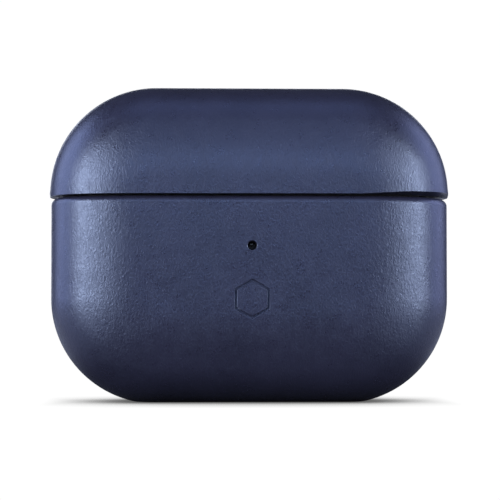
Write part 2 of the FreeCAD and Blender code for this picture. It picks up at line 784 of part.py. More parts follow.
def countersunk_screw(label, x, height):
    """One screw, driven in from the back."""
    body = new_body(label)
    sketch = new_sketch(body, "XY")
    head = f"({LEAF_BACK} - screw_head_depth)"
    tip = f"({LEAF_BACK} - screw_length)"
    taper_end = f"({tip} + screw_radius - screw_point)"
    polygon(sketch, [("0", tip), ("screw_point", tip), ("screw_radius", taper_end),
                     ("screw_radius", head), ("screw_head", LEAF_BACK), ("0", LEAF_BACK)])
    revolve(body, sketch, "V_Axis")
    return move(body, x, "0", height)


def hinge():
    hinge_base_leaf()
    hinge_lid_leaf()
    hinge_pin()
    base_screw = countersunk_screw("base_screw", "base_screw_spread", f"{AXIS_Z} - screw_offset")
    node(pair("hinge_base_screws", base_screw))
    lid_screw = countersunk_screw("lid_screw", "lid_screw_spread", f"{AXIS_Z} + screw_offset")
    node(pair("hinge_lid_screws", lid_screw))


hinge()

# ---------------------------------------------------------------- the magnets


def magnets():
    across = ("magnet_offset - magnet_length / 2", "magnet_offset + magnet_length / 2")
    front = f"(-({BACK} - magnet_setback))"
    deep = (front, f"{front} + magnet_side")
    base_top = f"({BASE_DECK_FOOT} - fit_gap)"
    base = box("base_magnet", across, deep, (f"{base_top} - magnet_side", base_top))
    node(pair("base_closing_magnets", base))
    lid_foot = f"({LID_DECK_TOP} + fit_gap)"
    lid = box("lid_magnet", across, deep, (lid_foot, f"{lid_foot} + magnet_side"))
    node(pair("lid_closing_magnets", lid))
    holders = []
    for name, side in (("front", -1), ("back", 1)):
        near = f"({STEM_Y} + {side} * ({STEM_OUTSIDE} + fit_gap))"
        far = f"({STEM_Y} + {side} * ({STEM_OUTSIDE} + fit_gap + bud_magnet_side))"
        deep = (far, near) if side < 0 else (near, far)
        across = (f"{STEM_X} - bud_magnet_width / 2", f"{STEM_X} + bud_magnet_width / 2")
        upright = ("bud_magnet_foot", "bud_magnet_foot + bud_magnet_height")
        holders.append(box(f"bud_magnet_{name}", across, deep, upright))
    node(pair("earbud_magnets", fuse("earbud_magnet_pair", *holders)))


magnets()

# ---------------------------------------------------------------- the charging contacts


def contact_pin(label, x):
    """One sprung contact: a round pin with a bevelled tip, standing out of the well's floor."""
    body = new_body(label)
    sketch = new_sketch(body, "XZ")
    top = "(stem_floor + contact_rise)"
    tip = "contact_tip"
    polygon(sketch, [("0", f"{top} - contact_length"), ("contact_radius", f"{top} - contact_length"),
                     ("contact_radius", f"{top} - {tip}"), (f"contact_radius - {tip}", top), ("0", top)])
    revolve(body, sketch, "V_Axis")
    node(move(body, x, STEM_Y))


def contact_barrel(label, x):
    """The cup that a contact slides in."""
    body = new_body(label)
    sketch = new_sketch(body, "XZ")
    foot = "(stem_floor - contact_barrel_length)"
    polygon(sketch, [("0", foot), (CONTACT_OUTSIDE, foot), (CONTACT_OUTSIDE, "stem_floor"),
                     (CONTACT_BORE, "stem_floor"), (CONTACT_BORE, f"{foot} + barrel_wall"),
                     ("0", f"{foot} + barrel_wall")])
    revolve(body, sketch, "V_Axis")
    return move(body, x, STEM_Y)


def contacts():
    for name, side in (("left", -1), ("right", 1)):
        barrels, sockets = [], []
        for place, step in (("inner", -0.5 * side), ("outer", 0.5 * side)):
            x = f"{side} * {STEM_X} + {step} * contact_pitch"
            contact_pin(f"contact_{name}_{place}", x)
            barrels.append(contact_barrel(f"contact_barrel_{name}_{place}", x))
            sockets.append(cylinder(f"socket_{name}_{place}", f"{CONTACT_OUTSIDE} + contact_play",
                                    "stem_floor", x, STEM_Y,
                                    "stem_floor - contact_barrel_length - contact_play"))
        joined = doc.addObject("Part::Compound", f"contact_barrels_{name}")
        joined.Links = barrels
        node(joined)
        block = box(f"block_{name}",
                    (f"{side} * {STEM_X} - block_half_length", f"{side} * {STEM_X} + block_half_length"),
                    (f"{STEM_Y} - block_reach", FLEX_FRONT),
                    ("block_foot", "stem_floor - floor_wall - fit_gap"))
        node(cut(f"contact_block_{name}", block, *sockets))


def contact_flex():
    """The flat cable from both contact blocks to the board above the port."""
    layer = (FLEX_FRONT, f"{FLEX_FRONT} + flex")
    end = f"({STEM_X} + block_half_length)"
    run_top = "flex_foot + flex_width"
    run = box("flex_run", (f"-{end}", end), layer, ("flex_foot", run_top))
    tab = box("flex_tail", ("-flex_tab / 2", "flex_tab / 2"), layer, (run_top, PORT_TOP))
    node(fuse("contact_flex", run, tab))


contacts()
contact_flex()

# ---------------------------------------------------------------- the battery and the boards


def battery():
    body = new_body("battery")
    half = f"({STEM_X} - {STEM_OUTSIDE} - battery_clearance)"
    sketch = new_sketch(body, "XZ", "-battery_front")
    polygon(sketch, [(f"-{half}", "battery_foot"), (half, "battery_foot"), (half, "battery_top"),
                     (f"-{half}", "battery_top")])
    pouch = pad(body, sketch, "battery_front + battery_back")
    doc.recompute()
    upright = [f"Edge{k}" for k, edge in enumerate(pouch.Shape.Edges, start=1)
               if abs(edge.Vertexes[0].X - edge.Vertexes[1].X) < 0.01
               and abs(edge.Vertexes[0].Y - edge.Vertexes[1].Y) < 0.01]
    rounding = body.newObject("PartDesign::Fillet", "battery_rounding")
    rounding.Base = (pouch, upright)
    bind(rounding, "Radius", "battery_edge")
    node(body)


def block_node(label, *sides):
    """A plain block that is a piece by itself."""
    block = box(label + "_form", *sides)
    block.Label = label
    return node(block)


def chip(label, side, foot, offset="0"):
    """A square chip on the back of the main board."""
    across = (f"{offset} - {side} / 2", f"{offset} + {side} / 2")
    return box(label, across, (BOARD_BACK, f"{BOARD_BACK} + chip"), (foot, f"{foot} + {side}"))


def boards():
    block_node("main_board", ("-board_half_width", "board_half_width"), (BOARD_FRONT, BOARD_BACK),
               ("board_foot", "board_top"))
    driver = chip("coil_chip_right", "coil_chip", "charger_chip_foot", "coil_chip_offset")
    node(fuse("board_chips", chip("charger", "charger_chip", "charger_chip_foot"),
              chip("radio", "radio_chip", "radio_chip_foot"), driver, mirrored(driver)))
    sensor_top = "(board_top - lid_sensor_drop + lid_sensor / 2)"
    block_node("lid_sensor", ("-lid_sensor / 2", "lid_sensor / 2"),
               (f"{BOARD_FRONT} - led_depth", BOARD_FRONT), (f"{sensor_top} - lid_sensor", sensor_top))
    block_node("status_led", ("-led / 2", "led / 2"), (f"{BOARD_FRONT} - led_depth", BOARD_FRONT),
               ("led_height - led / 4", "led_height + led / 4"))
    block_node("port_board", ("-port_board_width / 2", "port_board_width / 2"),
               ("-port_board_depth / 2", "port_board_depth / 2"), (PORT_TOP, f"{PORT_TOP} + board"))


def light_pipe():
    """The clear rod that carries the status light through the shell's front."""
    body = new_body("light_pipe")
    sketch = new_sketch(body, "XY")
    tip = f"(-(half_depth - {SHELL} - fit_gap))"
    step = f"(-({BACK} - fit_gap))"
    foot = f"({BOARD_FRONT} - led_depth - fit_gap)"
    polygon(sketch, [("0", tip), ("pipe_radius", tip), ("pipe_radius", step), ("pipe_flange", step),
                     ("pipe_flange", foot), ("0", foot)])
    revolve(body, sketch, "V_Axis")
    node(move(body, "0", "0", "led_height"))


battery()
boards()
light_pipe()

# ---------------------------------------------------------------- the pairing button


def pairing_button():
    """A cap with a flange behind the shell and a stem that presses the switch."""
    body = new_body("pairing_button")
    sketch = new_sketch(body, "XY")
    face = f"(half_depth - {SHELL} + button_proud)"
    edge = "button_proud"
    polygon(sketch, [("0", face), (f"button_radius - {edge}", face), ("button_radius", f"{face} - {edge}"),
                     ("button_radius", FLANGE_BACK), ("button_flange", FLANGE_BACK),
                     ("button_flange", FLANGE_FRONT), ("button_stem", FLANGE_FRONT),
                     ("button_stem", STEM_TIP), ("0", STEM_TIP)])
    revolve(body, sketch, "V_Axis")
    node(move(body, "0", "0", "button_height"))
    half = "(switch_side / 2)"
    upright = (f"button_height - {half}", f"button_height + {half}")
    block_node("button_switch", (f"-{half}", half), (SWITCH_FRONT, SWITCH_BACK), upright)
    block_node("button_board", ("-switch_side", "switch_side"),
               (f"{SWITCH_FRONT} - switch_board", SWITCH_FRONT), upright)


pairing_button()

# ---------------------------------------------------------------- the charging port


def port_tube(label, width, depth, wall, low, high):
    """An upright tube of a port's section, with its wall inside that size."""
    body = new_body(label)
    sketch = new_sketch(body, "XY", low)
    slot_outline(sketch, width, depth)
    slot_outline(sketch, f"({width}) - 2 * ({wall})", f"({depth}) - 2 * ({wall})")
    pad(body, sketch, f"({high}) - ({low})")
    node(body)


def charging_port():
    port_tube("port_shell", "port_width", "port_depth", "port_wall", PORT_MOUTH, PORT_TOP)
    port_tube("port_trim_ring", "port_width + 2 * trim_wall", "port_depth + 2 * trim_wall",
              "trim_wall - port_play", SHELL_FOOT, f"{SHELL_FOOT} + trim_height - port_play")
    block_node("port_tongue", ("-tongue_width / 2", "tongue_width / 2"), ("-tongue / 2", "tongue / 2"),
               (f"{PORT_MOUTH} + tongue_setback", PORT_TOP))


charging_port()

# ---------------------------------------------------------------- the wireless charging coil


def charging_coil():
    body = new_body("charging_coil")
    sketch = new_sketch(body, "XZ", COIL_FRONT)
    circle(sketch, "coil_radius", "0", "coil_height")
    circle(sketch, "coil_bore", "0", "coil_height")
    pad(body, sketch, "coil")
    node(body)
    sheet_back = f"({COIL_FRONT} - ferrite_gap)"
    ferrite = cylinder("coil_ferrite_form", "coil_radius + ferrite_margin", "ferrite", "0",
                       f"{sheet_back} - ferrite", "coil_height", axis="y")
    ferrite.Label = "coil_ferrite"
    node(ferrite)


charging_coil()

# ---------------------------------------------------------------- check and export

doc.recompute()
faults = [thing.Label for thing in doc.Objects if {"Invalid", "Error"} & set(thing.State)]
for piece in nodes:
    if piece.Shape.isNull() or not piece.Shape.isValid() or not piece.Shape.Solids:
        faults.append(piece.Label)
if faults:
    raise RuntimeError(f"these objects failed: {sorted(set(faults))}")

os.makedirs("parts", exist_ok=True)
for piece in nodes:
    piece.Shape.exportStep(f"parts/{piece.Label}.step")
    extent = piece.Shape.optimalBoundingBox(False)
    print(f"{piece.Label:26s} solids {len(piece.Shape.Solids)}  volume {piece.Shape.Volume:9.2f}"
          f"  x {extent.XMin:7.2f} {extent.XMax:7.2f}  y {extent.YMin:7.2f} {extent.YMax:7.2f}"
          f"  z {extent.ZMin:6.2f} {extent.ZMax:6.2f}")
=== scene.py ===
# %% [markdown]
# # A leather-covered charging case for wireless earbuds
# The design comes from the imported CAD model, which is loaded once as a fixed frame. Everything made
# here is in metres in that same frame, so each new piece is built where the design puts it and
# nothing is fitted afterwards.

# %% Load the frame
import json
import math

import bmesh
import bpy
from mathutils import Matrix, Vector

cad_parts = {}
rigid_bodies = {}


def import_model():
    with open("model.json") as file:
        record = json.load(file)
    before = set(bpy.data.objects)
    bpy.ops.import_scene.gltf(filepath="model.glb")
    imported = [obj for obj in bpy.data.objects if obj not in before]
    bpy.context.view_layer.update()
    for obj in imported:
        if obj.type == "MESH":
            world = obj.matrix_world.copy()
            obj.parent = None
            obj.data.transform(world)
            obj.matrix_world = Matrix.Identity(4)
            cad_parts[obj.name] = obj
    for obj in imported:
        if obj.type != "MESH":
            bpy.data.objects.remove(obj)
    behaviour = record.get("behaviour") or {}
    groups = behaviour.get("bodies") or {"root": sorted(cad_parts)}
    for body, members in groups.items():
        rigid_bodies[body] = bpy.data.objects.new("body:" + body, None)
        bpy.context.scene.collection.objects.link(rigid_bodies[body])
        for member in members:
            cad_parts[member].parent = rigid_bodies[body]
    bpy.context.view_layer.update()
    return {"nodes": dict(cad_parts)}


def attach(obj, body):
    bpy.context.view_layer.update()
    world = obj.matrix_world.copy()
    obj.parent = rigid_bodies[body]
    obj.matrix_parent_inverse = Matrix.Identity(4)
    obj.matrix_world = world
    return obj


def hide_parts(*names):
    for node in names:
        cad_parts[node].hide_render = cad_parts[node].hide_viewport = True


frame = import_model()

MM = 0.001

# %% [markdown]
# ## Tools for working as by hand
# Blender's operators act on whatever is selected, just as they do under the mouse. Imported objects
# arrive selected, so every step starts by clearing the selection. In edit mode, faces and edges are
# then chosen by a rule about their place or the way they face, which is what the eye does by hand.

# %% Selecting, editing and finishing


def take(*objects):
    """Selects only these objects and makes the first of them active."""
    bpy.ops.object.select_all(action="DESELECT")
    for thing in objects:
        thing.select_set(True)
    bpy.context.view_layer.objects.active = objects[0]
    return objects[0]


def edit(thing):
    take(thing)
    bpy.ops.object.mode_set(mode="EDIT")


def leave_edit():
    bpy.ops.object.mode_set(mode="OBJECT")


def pick(kind, rule):
    """In edit mode, selects the vertices, edges or faces that the rule accepts."""
    bpy.ops.mesh.select_mode(type=kind)
    bpy.ops.mesh.select_all(action="DESELECT")
    mesh = bpy.context.edit_object.data
    grid = bmesh.from_edit_mesh(mesh)
    chosen = {"VERT": grid.verts, "EDGE": grid.edges, "FACE": grid.faces}[kind]
    count = 0
    for part in chosen:
        if rule(part):
            part.select_set(True)
            count += 1
    bmesh.update_edit_mesh(mesh)
    return count


def middle(edge):
    return (edge.verts[0].co + edge.verts[1].co) / 2


def is_sharp(edge, degrees=35):
    """True where two faces meet at more than that angle."""
    return len(edge.link_faces) == 2 and edge.calc_face_angle(0) > math.radians(degrees)


def apply_all(thing):
    """Applies every modifier, in order."""
    take(thing)
    for modifier in list(thing.modifiers):
        bpy.ops.object.modifier_apply(modifier=modifier.name)
    return thing


def settle(thing):
    """Puts a piece's place, turn and size into its mesh, so its object sits at the origin."""
    take(thing)
    bpy.ops.object.transform_apply(location=True, rotation=True, scale=True)
    return thing


def mend(thing, distance=0.002):
    """Merges points closer than that many mm and turns every face outwards."""
    edit(thing)
    bpy.ops.mesh.select_all(action="SELECT")
    bpy.ops.mesh.remove_doubles(threshold=distance * MM)
    bpy.ops.mesh.normals_make_consistent(inside=False)
    leave_edit()
    return thing


def smooth(thing, degrees=35):
    """Shades a piece smooth. Large faces keep their direction, and narrow bevels take the turn."""
    take(thing)
    bpy.ops.object.shade_smooth_by_angle(angle=math.radians(degrees))
    weights = thing.modifiers.new("weights", "WEIGHTED_NORMAL")
    weights.keep_sharp = True
    return apply_all(thing)


def carve(thing, tools, how="DIFFERENCE"):
    """Cuts the tools out of a piece, or joins them to it, and throws the tools away."""
    for tool in tools:
        boolean = thing.modifiers.new("carve", "BOOLEAN")
        boolean.operation = how
        boolean.solver = "EXACT"
        boolean.object = tool
        take(thing)
        bpy.ops.object.modifier_apply(modifier=boolean.name)
        bpy.data.objects.remove(tool)
    return thing


def round_edges(thing, rule, radius, segments=3):
    """Bevels the edges that the rule accepts."""
    edit(thing)
    found = pick("EDGE", rule)
    if found:
        bpy.ops.mesh.bevel(offset=radius, segments=segments, profile=0.5, clamp_overlap=True,
                           affect="EDGES")
    leave_edit()
    return found


# %% Primitive starts
OFF_AXIS = Vector((131, 57, 23)) * MM


def drum(name, radius, start, end, sides=64):
    """A cylinder between two points in mm, along any axis."""
    start, end = Vector(start) * MM, Vector(end) * MM
    along = end - start
    bpy.ops.object.select_all(action="DESELECT")
    bpy.ops.mesh.primitive_cylinder_add(vertices=sides, radius=radius * MM, depth=along.length,
                                        location=(start + end) / 2,
                                        rotation=along.to_track_quat("Z", "Y").to_euler())
    thing = bpy.context.object
    thing.name = name
    return settle(thing)


def block(name, low, high):
    """A box between two corners in mm."""
    low, high = Vector(low) * MM, Vector(high) * MM
    bpy.ops.object.select_all(action="DESELECT")
    bpy.ops.mesh.primitive_cube_add(size=1, location=(low + high) / 2, scale=high - low)
    thing = bpy.context.object
    thing.name = name
    return settle(thing)


def egg(name, centre, radii):
    """An ellipsoid with its poles at its two ends along X.

    A new sphere's faces can come in another order on each run, and cuts through them would then
    differ a little. So they are sorted by their distance from a point that favours no axis.
    """
    bpy.ops.object.select_all(action="DESELECT")
    bpy.ops.mesh.primitive_uv_sphere_add(segments=72, ring_count=48, radius=1,
                                         location=Vector(centre) * MM,
                                         rotation=(0, math.pi / 2, 0))
    thing = bpy.context.object
    thing.name = name
    x, y, z = radii
    thing.scale = (z * MM, y * MM, x * MM)
    settle(thing)
    edit(thing)
    bpy.ops.mesh.select_all(action="SELECT")
    bpy.context.scene.cursor.location = OFF_AXIS
    bpy.ops.mesh.sort_elements(type="CURSOR_DISTANCE", elements={"VERT", "EDGE", "FACE"})
    leave_edit()
    return thing


def lozenge(name, half_width, half_depth, low, high):
    """An upright slot shape with round ends."""
    thing = block(name, (-half_width, -half_depth, low), (half_width, half_depth, high))
    round_edges(thing, lambda e: abs(e.verts[0].co.z - e.verts[1].co.z) > MM / 10,
                half_depth * 0.999 * MM, 16)
    return thing


# %% [markdown]
# ## The pebble
# The leather halves, the plastic shells and the trays all follow one rounded form, each a little
# further in than the last. A subdivided cube would only come near it. This form has an exact
# section: three arcs that flow from the flat face, over the shoulder, to the side. So it starts as
# a flat outline with round corners, seen from the front, and each inset steps a ring inwards and
# forwards along those arcs. One half is mirrored to the back. All the pieces share the arcs'
# centres, so they nest with even gaps.

# %% The pebble's outline and section
HALF_WIDTH = 31.8
HALF_DEPTH = 12.5
FORM_TOP = 50.1
FORM_FOOT = -0.4
CORNER = 16.9
REACH = 14.5
FACE_BLEND, SHOULDER_BLEND, SIDE_BLEND = 24.0, 9.0, 19.0
PARTING = 32.5


def section_arcs(inset):
    """Centre, radius, first and last angle of each arc, from the side round to the flat front."""
    face_centre = Vector((0, FACE_BLEND - HALF_DEPTH))
    side_centre = Vector((REACH - SIDE_BLEND, 0))
    between = side_centre - face_centre
    from_face, from_side = FACE_BLEND - SHOULDER_BLEND, SIDE_BLEND - SHOULDER_BLEND
    along = (from_face**2 - from_side**2 + between.length**2) / (2 * between.length)
    across = math.sqrt(from_face**2 - along**2)
    unit = between.normalized()
    shoulder_centre = face_centre + unit * along + Vector((-unit.y, unit.x)) * across
    side_turn = -abs((shoulder_centre - side_centre).angle_signed(Vector((1, 0))))
    face_turn = -abs((shoulder_centre - face_centre).angle_signed(Vector((1, 0))))
    return (
        (side_centre, SIDE_BLEND - inset, 0, side_turn, 8),
        (shoulder_centre, SHOULDER_BLEND - inset, side_turn, face_turn, 20),
        (face_centre, FACE_BLEND - inset, face_turn, -math.pi / 2, 12),
    )


def section_points(inset):
    """Points along the section: how far out, and how far forwards, in mm."""
    points = []
    for centre, radius, first, last, steps in section_arcs(inset):
        for step in range(steps + 1):
            if points and step == 0:
                continue
            angle = first + (last - first) * step / steps
            points.append((centre.x + radius * math.cos(angle),
                           -centre.y - radius * math.sin(angle)))
    return points


for name, inset in (("leather", 0), ("plastic", 1.7)):
    side, front = section_points(inset)[0], section_points(inset)[-1]
    print(name, "reaches", round(side[0], 2), "mm out and", round(front[1], 2), "mm forwards")

# %% The whole form


def pebble(name, inset, corner_steps=28):
    """A closed pebble, that far in from the base's leather."""
    left, low = -(HALF_WIDTH - inset), FORM_FOOT + inset
    wide, high = -2 * left, FORM_TOP - FORM_FOOT - 2 * inset
    bpy.ops.object.select_all(action="DESELECT")
    bpy.ops.mesh.primitive_plane_add(size=1, rotation=(math.pi / 2, 0, 0),
                                     location=(0, 0, (low + high / 2) * MM))
    thing = bpy.context.object
    thing.name = name
    thing.scale = (wide * MM, high * MM, 1)
    settle(thing)
    edit(thing)
    bpy.ops.mesh.select_all(action="SELECT")
    bpy.ops.mesh.bevel(offset=(CORNER - inset) * MM, segments=corner_steps, profile=0.5,
                       affect="VERTICES")
    pick("FACE", lambda face: True)
    points = section_points(inset)
    for (x0, y0), (x1, y1) in zip(points, points[1:]):
        bpy.ops.mesh.inset(thickness=(x0 - x1) * MM, depth=(y1 - y0) * MM, use_even_offset=True)
    bpy.ops.mesh.inset(thickness=0.4 * MM, depth=0, use_even_offset=True)
    leave_edit()
    mirror = thing.modifiers.new("back", "MIRROR")
    mirror.use_axis = (False, True, False)
    mirror.merge_threshold = 0.0001 * MM
    apply_all(thing)
    return mend(thing, 0.0005)


def slice_off(thing, height, above, fill=True):
    """Cuts a piece level at a height in mm and throws away what is above it, or below it."""
    edit(thing)
    bpy.ops.mesh.select_all(action="SELECT")
    bpy.ops.mesh.bisect(plane_co=(0, 0, height * MM), plane_no=(0, 0, 1), use_fill=fill,
                        clear_outer=above, clear_inner=not above, threshold=0.0001 * MM)
    leave_edit()
    return thing


trial = pebble("trial", 0)
print("faces in the pebble:", len(trial.data.polygons))
print("its size in mm:", [round(v / MM, 2) for v in trial.dimensions])
bpy.data.objects.remove(trial)

# %% [markdown]
# ## The leather
# The cover is full-grain leather, dyed dark navy and lightly waxed. Three things make it leather at
# this distance: wrinkles less than half a millimetre apart, which run mostly up and down where the
# skin was stretched over the form, faint pebbled cells between them, and a soft, slightly uneven
# shine that the grain breaks up. The wrinkles are a noise stretched along Z. The cells come from a
# Voronoi pattern whose coordinates another noise pushes about, so no two are alike. All patterns
# read Object coordinates in metres, so they stay at their real size and don't move with the view.

# %% Material helpers


class Finish:
    """A new material, with short ways to add and join its nodes."""

    def __init__(self, name):
        self.material = bpy.data.materials.new(name)
        self.material.use_nodes = True
        self.nodes = self.material.node_tree.nodes
        self.links = self.material.node_tree.links
        self.shader = self.nodes["Principled BSDF"]

    def add(self, kind, **settings):
        """Adds a node of that kind and sets its properties."""
        node = self.nodes.new("ShaderNode" + kind)
        for name, value in settings.items():
            setattr(node, name, value)
        return node

    def feed(self, socket, value):
        """Gives an input a number or a colour, or links another node's output to it."""
        if isinstance(value, bpy.types.NodeSocket):
            self.links.new(value, socket)
        else:
            socket.default_value = value

    def fill(self, node, **inputs):
        """Feeds a node's inputs by name, with _ for a space."""
        for name, value in inputs.items():
            self.feed(node.inputs[name.replace("_", " ")], value)
        return node

    def place(self, scale=(1, 1, 1)):
        """The point on the piece, in metres, stretched by a factor along each axis."""
        coordinates = self.add("TexCoord")
        mapping = self.add("Mapping")
        self.fill(mapping, Vector=coordinates.outputs["Object"], Scale=scale)
        return mapping.outputs["Vector"]

    def noise(self, where, size_mm, detail=2.0, roughness=0.5, distortion=0.0):
        """A cloudy pattern whose patches are about that size."""
        node = self.add("TexNoise")
        self.fill(node, Vector=where, Scale=1000 / size_mm, Detail=detail, Roughness=roughness,
                  Distortion=distortion)
        return node.outputs["Fac"]

    def ramp(self, value, low, high, to_low=0.0, to_high=1.0):
        """Stretches a value between two limits to a new range, smoothly."""
        node = self.add("MapRange", interpolation_type="SMOOTHSTEP")
        self.fill(node, Value=value, From_Min=low, From_Max=high, To_Min=to_low, To_Max=to_high)
        return node.outputs["Result"]

    def mix_colour(self, amount, one, other):
        """A blend of two colours, all of the second where the amount is 1."""
        node = self.add("Mix", data_type="RGBA")
        for socket, value in zip((node.inputs[0], node.inputs[6], node.inputs[7]),
                                 (amount, one, other)):
            self.feed(socket, value)
        return node.outputs[2]

    def math(self, how, one, other=0.0):
        node = self.add("Math", operation=how)
        self.feed(node.inputs[0], one)
        self.feed(node.inputs[1], other)
        return node.outputs["Value"]

    def bump(self, height, depth_mm, over=None):
        """A fine relief in the shading, that many millimetres deep, on top of another one."""
        node = self.add("Bump")
        self.fill(node, Height=height, Distance=depth_mm * MM, Strength=1.0)
        if over is not None:
            self.feed(node.inputs["Normal"], over)
        return node.outputs["Normal"]

    def surface(self, **inputs):
        self.fill(self.shader, **inputs)
        return self.material


# %% Navy leather
NAVY = (0.0140, 0.0140, 0.0300, 1)
NAVY_DEEP = (0.0110, 0.0110, 0.0240, 1)
# The crease colour is a painted shade: it darkens the creases between the grain's cells.
NAVY_CREASE_SHADE = (0.010, 0.012, 0.028, 1)
CELL, WRINKLE, FINE_GRAIN, WAVE = 0.52, 0.42, 0.10, 7.0
DRIFT, DRIFT_SIZE = 0.4, 0.7
RELIEF_DEPTH, WAVE_DEPTH = 0.024, 0.10


def navy_leather():
    finish = Finish("navy_leather")
    where = finish.place()
    stretched = finish.place((1.25, 1.25, 0.75))
    drift = finish.add("TexNoise")
    finish.fill(drift, Vector=stretched, Scale=1000 / DRIFT_SIZE, Detail=2.0)
    shifted = finish.add("VectorMath", operation="MULTIPLY_ADD")
    finish.feed(shifted.inputs[0], drift.outputs["Color"])
    finish.feed(shifted.inputs[1], (DRIFT * MM,) * 3)
    finish.feed(shifted.inputs[2], stretched)
    cells = finish.add("TexVoronoi", feature="DISTANCE_TO_EDGE")
    finish.fill(cells, Vector=shifted.outputs["Vector"], Scale=1000 / CELL, Randomness=0.85)
    creases = finish.ramp(cells.outputs["Distance"], 0.0, 0.30)
    wrinkles = finish.noise(stretched, WRINKLE, detail=3.0, roughness=0.6, distortion=0.6)
    fine = finish.noise(where, FINE_GRAIN, detail=2.0)
    relief = finish.math("ADD", finish.math("MULTIPLY", creases, 0.22),
                         finish.math("MULTIPLY", wrinkles, 2.2))
    relief = finish.math("ADD", relief, finish.math("MULTIPLY", fine, 0.2))
    normal = finish.bump(finish.noise(where, WAVE, detail=1.0), WAVE_DEPTH)
    normal = finish.bump(relief, RELIEF_DEPTH, over=normal)
    clouds = finish.ramp(finish.noise(where, 9.0, detail=3.0), 0.3, 0.7)
    colour = finish.mix_colour(clouds, NAVY_DEEP, NAVY)
    # Painted shade: the colour is mixed a tenth of the way towards a darker navy in the creases.
    colour = finish.mix_colour(finish.ramp(creases, 0.0, 1.0, 0.10, 0.0), colour, NAVY_CREASE_SHADE)
    rough = finish.ramp(finish.noise(where, 1.6, detail=2.0), 0.25, 0.75, 0.26, 0.34)
    rough = finish.math("ADD", rough, finish.ramp(creases, 0.0, 1.0, 0.08, 0.0))
    return finish.surface(Base_Color=colour, Roughness=rough, Normal=normal, IOR=1.5,
                          Specular_IOR_Level=0.85, Specular_Tint=(0.52, 0.65, 1.0, 1))


NAVY_LEATHER = navy_leather()
print("finish made:", NAVY_LEATHER.name)

# %% [markdown]
# ## The leather cover
# Each half of the cover is a sheet of leather moulded over a stiff board, about a millimetre and a
# half thick together, with the leather turned over every edge. The pebble gives the outside. It is
# cut level at the parting, given its thickness by Solidify, and then the openings are carved. What
# makes it read as leather rather than plastic is the edges: they are full and round, because the
# skin is folded over them, so they are bevelled wide.

# %% Sizes of the cover
LEATHER_WALL = 1.6
LEATHER_GAP = 0.3
LID_PROUD = 0.2
BASE_ROLL, LID_ROLL = 1.0, 0.5
SLOT_END, SLOT_RISE, SLOT_REACH, SLOT_ROLL = 26.0, 2.1, 6.0, 0.3
HINGE_Y = 11.2
LIGHT_HOLE, LIGHT_Z, LIGHT_ROLL = 0.7, 24.6, 0.16
BUTTON_HOLE, BUTTON_Z, BUTTON_ROLL = 3.4, 22.9, 0.45
MARK_Z, MARK_RADIUS, MARK_LINE, MARK_DEPTH, MARK_ROLL = 16.3, 3.1, 0.38, 0.32, 0.09
PORT_HALF_WIDTH, PORT_HALF_DEPTH, PORT_ROLL = 6.2, 3.2, 0.4
PULL_START, PULL_RUN, PULL_FADE = 15.0, 14.0, 5.0
LID_PULL, BASE_PULL = 0.6, -0.2
HEM_SWELL = 0.07
AFTER_CUTS = 0.02


def give_wall(thing, wall):
    """Turns an open skin into a wall that thick, inwards."""
    solid = thing.modifiers.new("wall", "SOLIDIFY")
    solid.thickness = wall * MM
    solid.offset = -1
    solid.use_even_offset = True
    solid.use_rim = True
    return apply_all(thing)


def outside_edge(edge, height):
    """True for the outer corner of a wall's rim, which lies within a millimetre of that height."""
    near = all(abs(v.co.z / MM - height) < 1 for v in edge.verts)
    rim = [face for face in edge.link_faces if abs(face.normal.z) > 0.8]
    outward = [face for face in edge.link_faces if abs(face.normal.z) < 0.6]
    if not (near and len(rim) == 1 and len(outward) == 1):
        return False
    here = middle(edge)
    return outward[0].normal.x * here.x + outward[0].normal.y * here.y > 0


def ease(value):
    """From 0 to 1 with a soft start and a soft end."""
    value = min(max(value, 0), 1)
    return value * value * (3 - 2 * value)


def pull_rim(skin, height, most):
    """Curls the rim's outer corner a little, where the leather doesn't sit quite true."""
    edit(skin)
    grid = bmesh.from_edit_mesh(skin.data)
    corner = {point for edge in grid.edges if outside_edge(edge, height) for point in edge.verts}
    for point in corner:
        x, y, z = point.co / MM
        point.co.z += most * MM * ease((x - PULL_START) / PULL_RUN) * ease(-y / PULL_FADE)
    bmesh.update_edit_mesh(skin.data)
    leave_edit()


def thicken_hem(skin, height):
    """Swells the skin slightly just inside its rim, where it is folded over and glued down."""
    edit(skin)
    pick("VERT", lambda v: abs(v.co.z / MM - height) < 0.01)
    bpy.ops.transform.shrink_fatten(value=HEM_SWELL * MM)
    leave_edit()


def slot_cutter():
    """The long opening behind the hinge, with round ends."""
    tool = block("slot", (-SLOT_END, HINGE_Y - SLOT_REACH, PARTING - SLOT_RISE),
                 (SLOT_END, HINGE_Y + SLOT_REACH, PARTING + SLOT_RISE))
    round_edges(tool, lambda e: abs(e.verts[0].co.y - e.verts[1].co.y) > MM,
                SLOT_RISE * 0.98 * MM, 12)
    return tool


def mark_cutter():
    """A thin hexagonal ring, pressed into the front."""
    front = -HALF_DEPTH
    low, high = front - 2, front + MARK_DEPTH
    ring = drum("mark", MARK_RADIUS, (0, low, MARK_Z), (0, high, MARK_Z), 6)
    island = drum("island", MARK_RADIUS - MARK_LINE, (0, low - 1, MARK_Z), (0, high + 1, MARK_Z), 6)
    return carve(ring, [island])


def near_point(edge, x, z, reach, side):
    """True for an edge within a distance in mm of a point on the front (-1) or the back (1)."""
    here = middle(edge) / MM
    return here.y * side > 0 and math.hypot(here.x - x, here.z - z) < reach


def on_face(edge, side):
    """True if an edge lies on the leather's flat front (-1) or back (1)."""
    return all(abs(v.co.y / MM * side - HALF_DEPTH) < 0.05 for v in edge.verts)


def slot_lip(edge):
    """True for the outer corner of the slot behind the hinge."""
    here = middle(edge) / MM
    if here.y < 5 or abs(here.z - PARTING) > SLOT_RISE + 0.05 or abs(here.x) > SLOT_END + 0.05:
        return False
    across = [abs(face.normal.y) for face in edge.link_faces if abs(face.normal.y) < 0.3]
    outward = [face.normal.y for face in edge.link_faces if face.normal.y > 0.6]
    return len(across) == 1 and len(outward) == 1


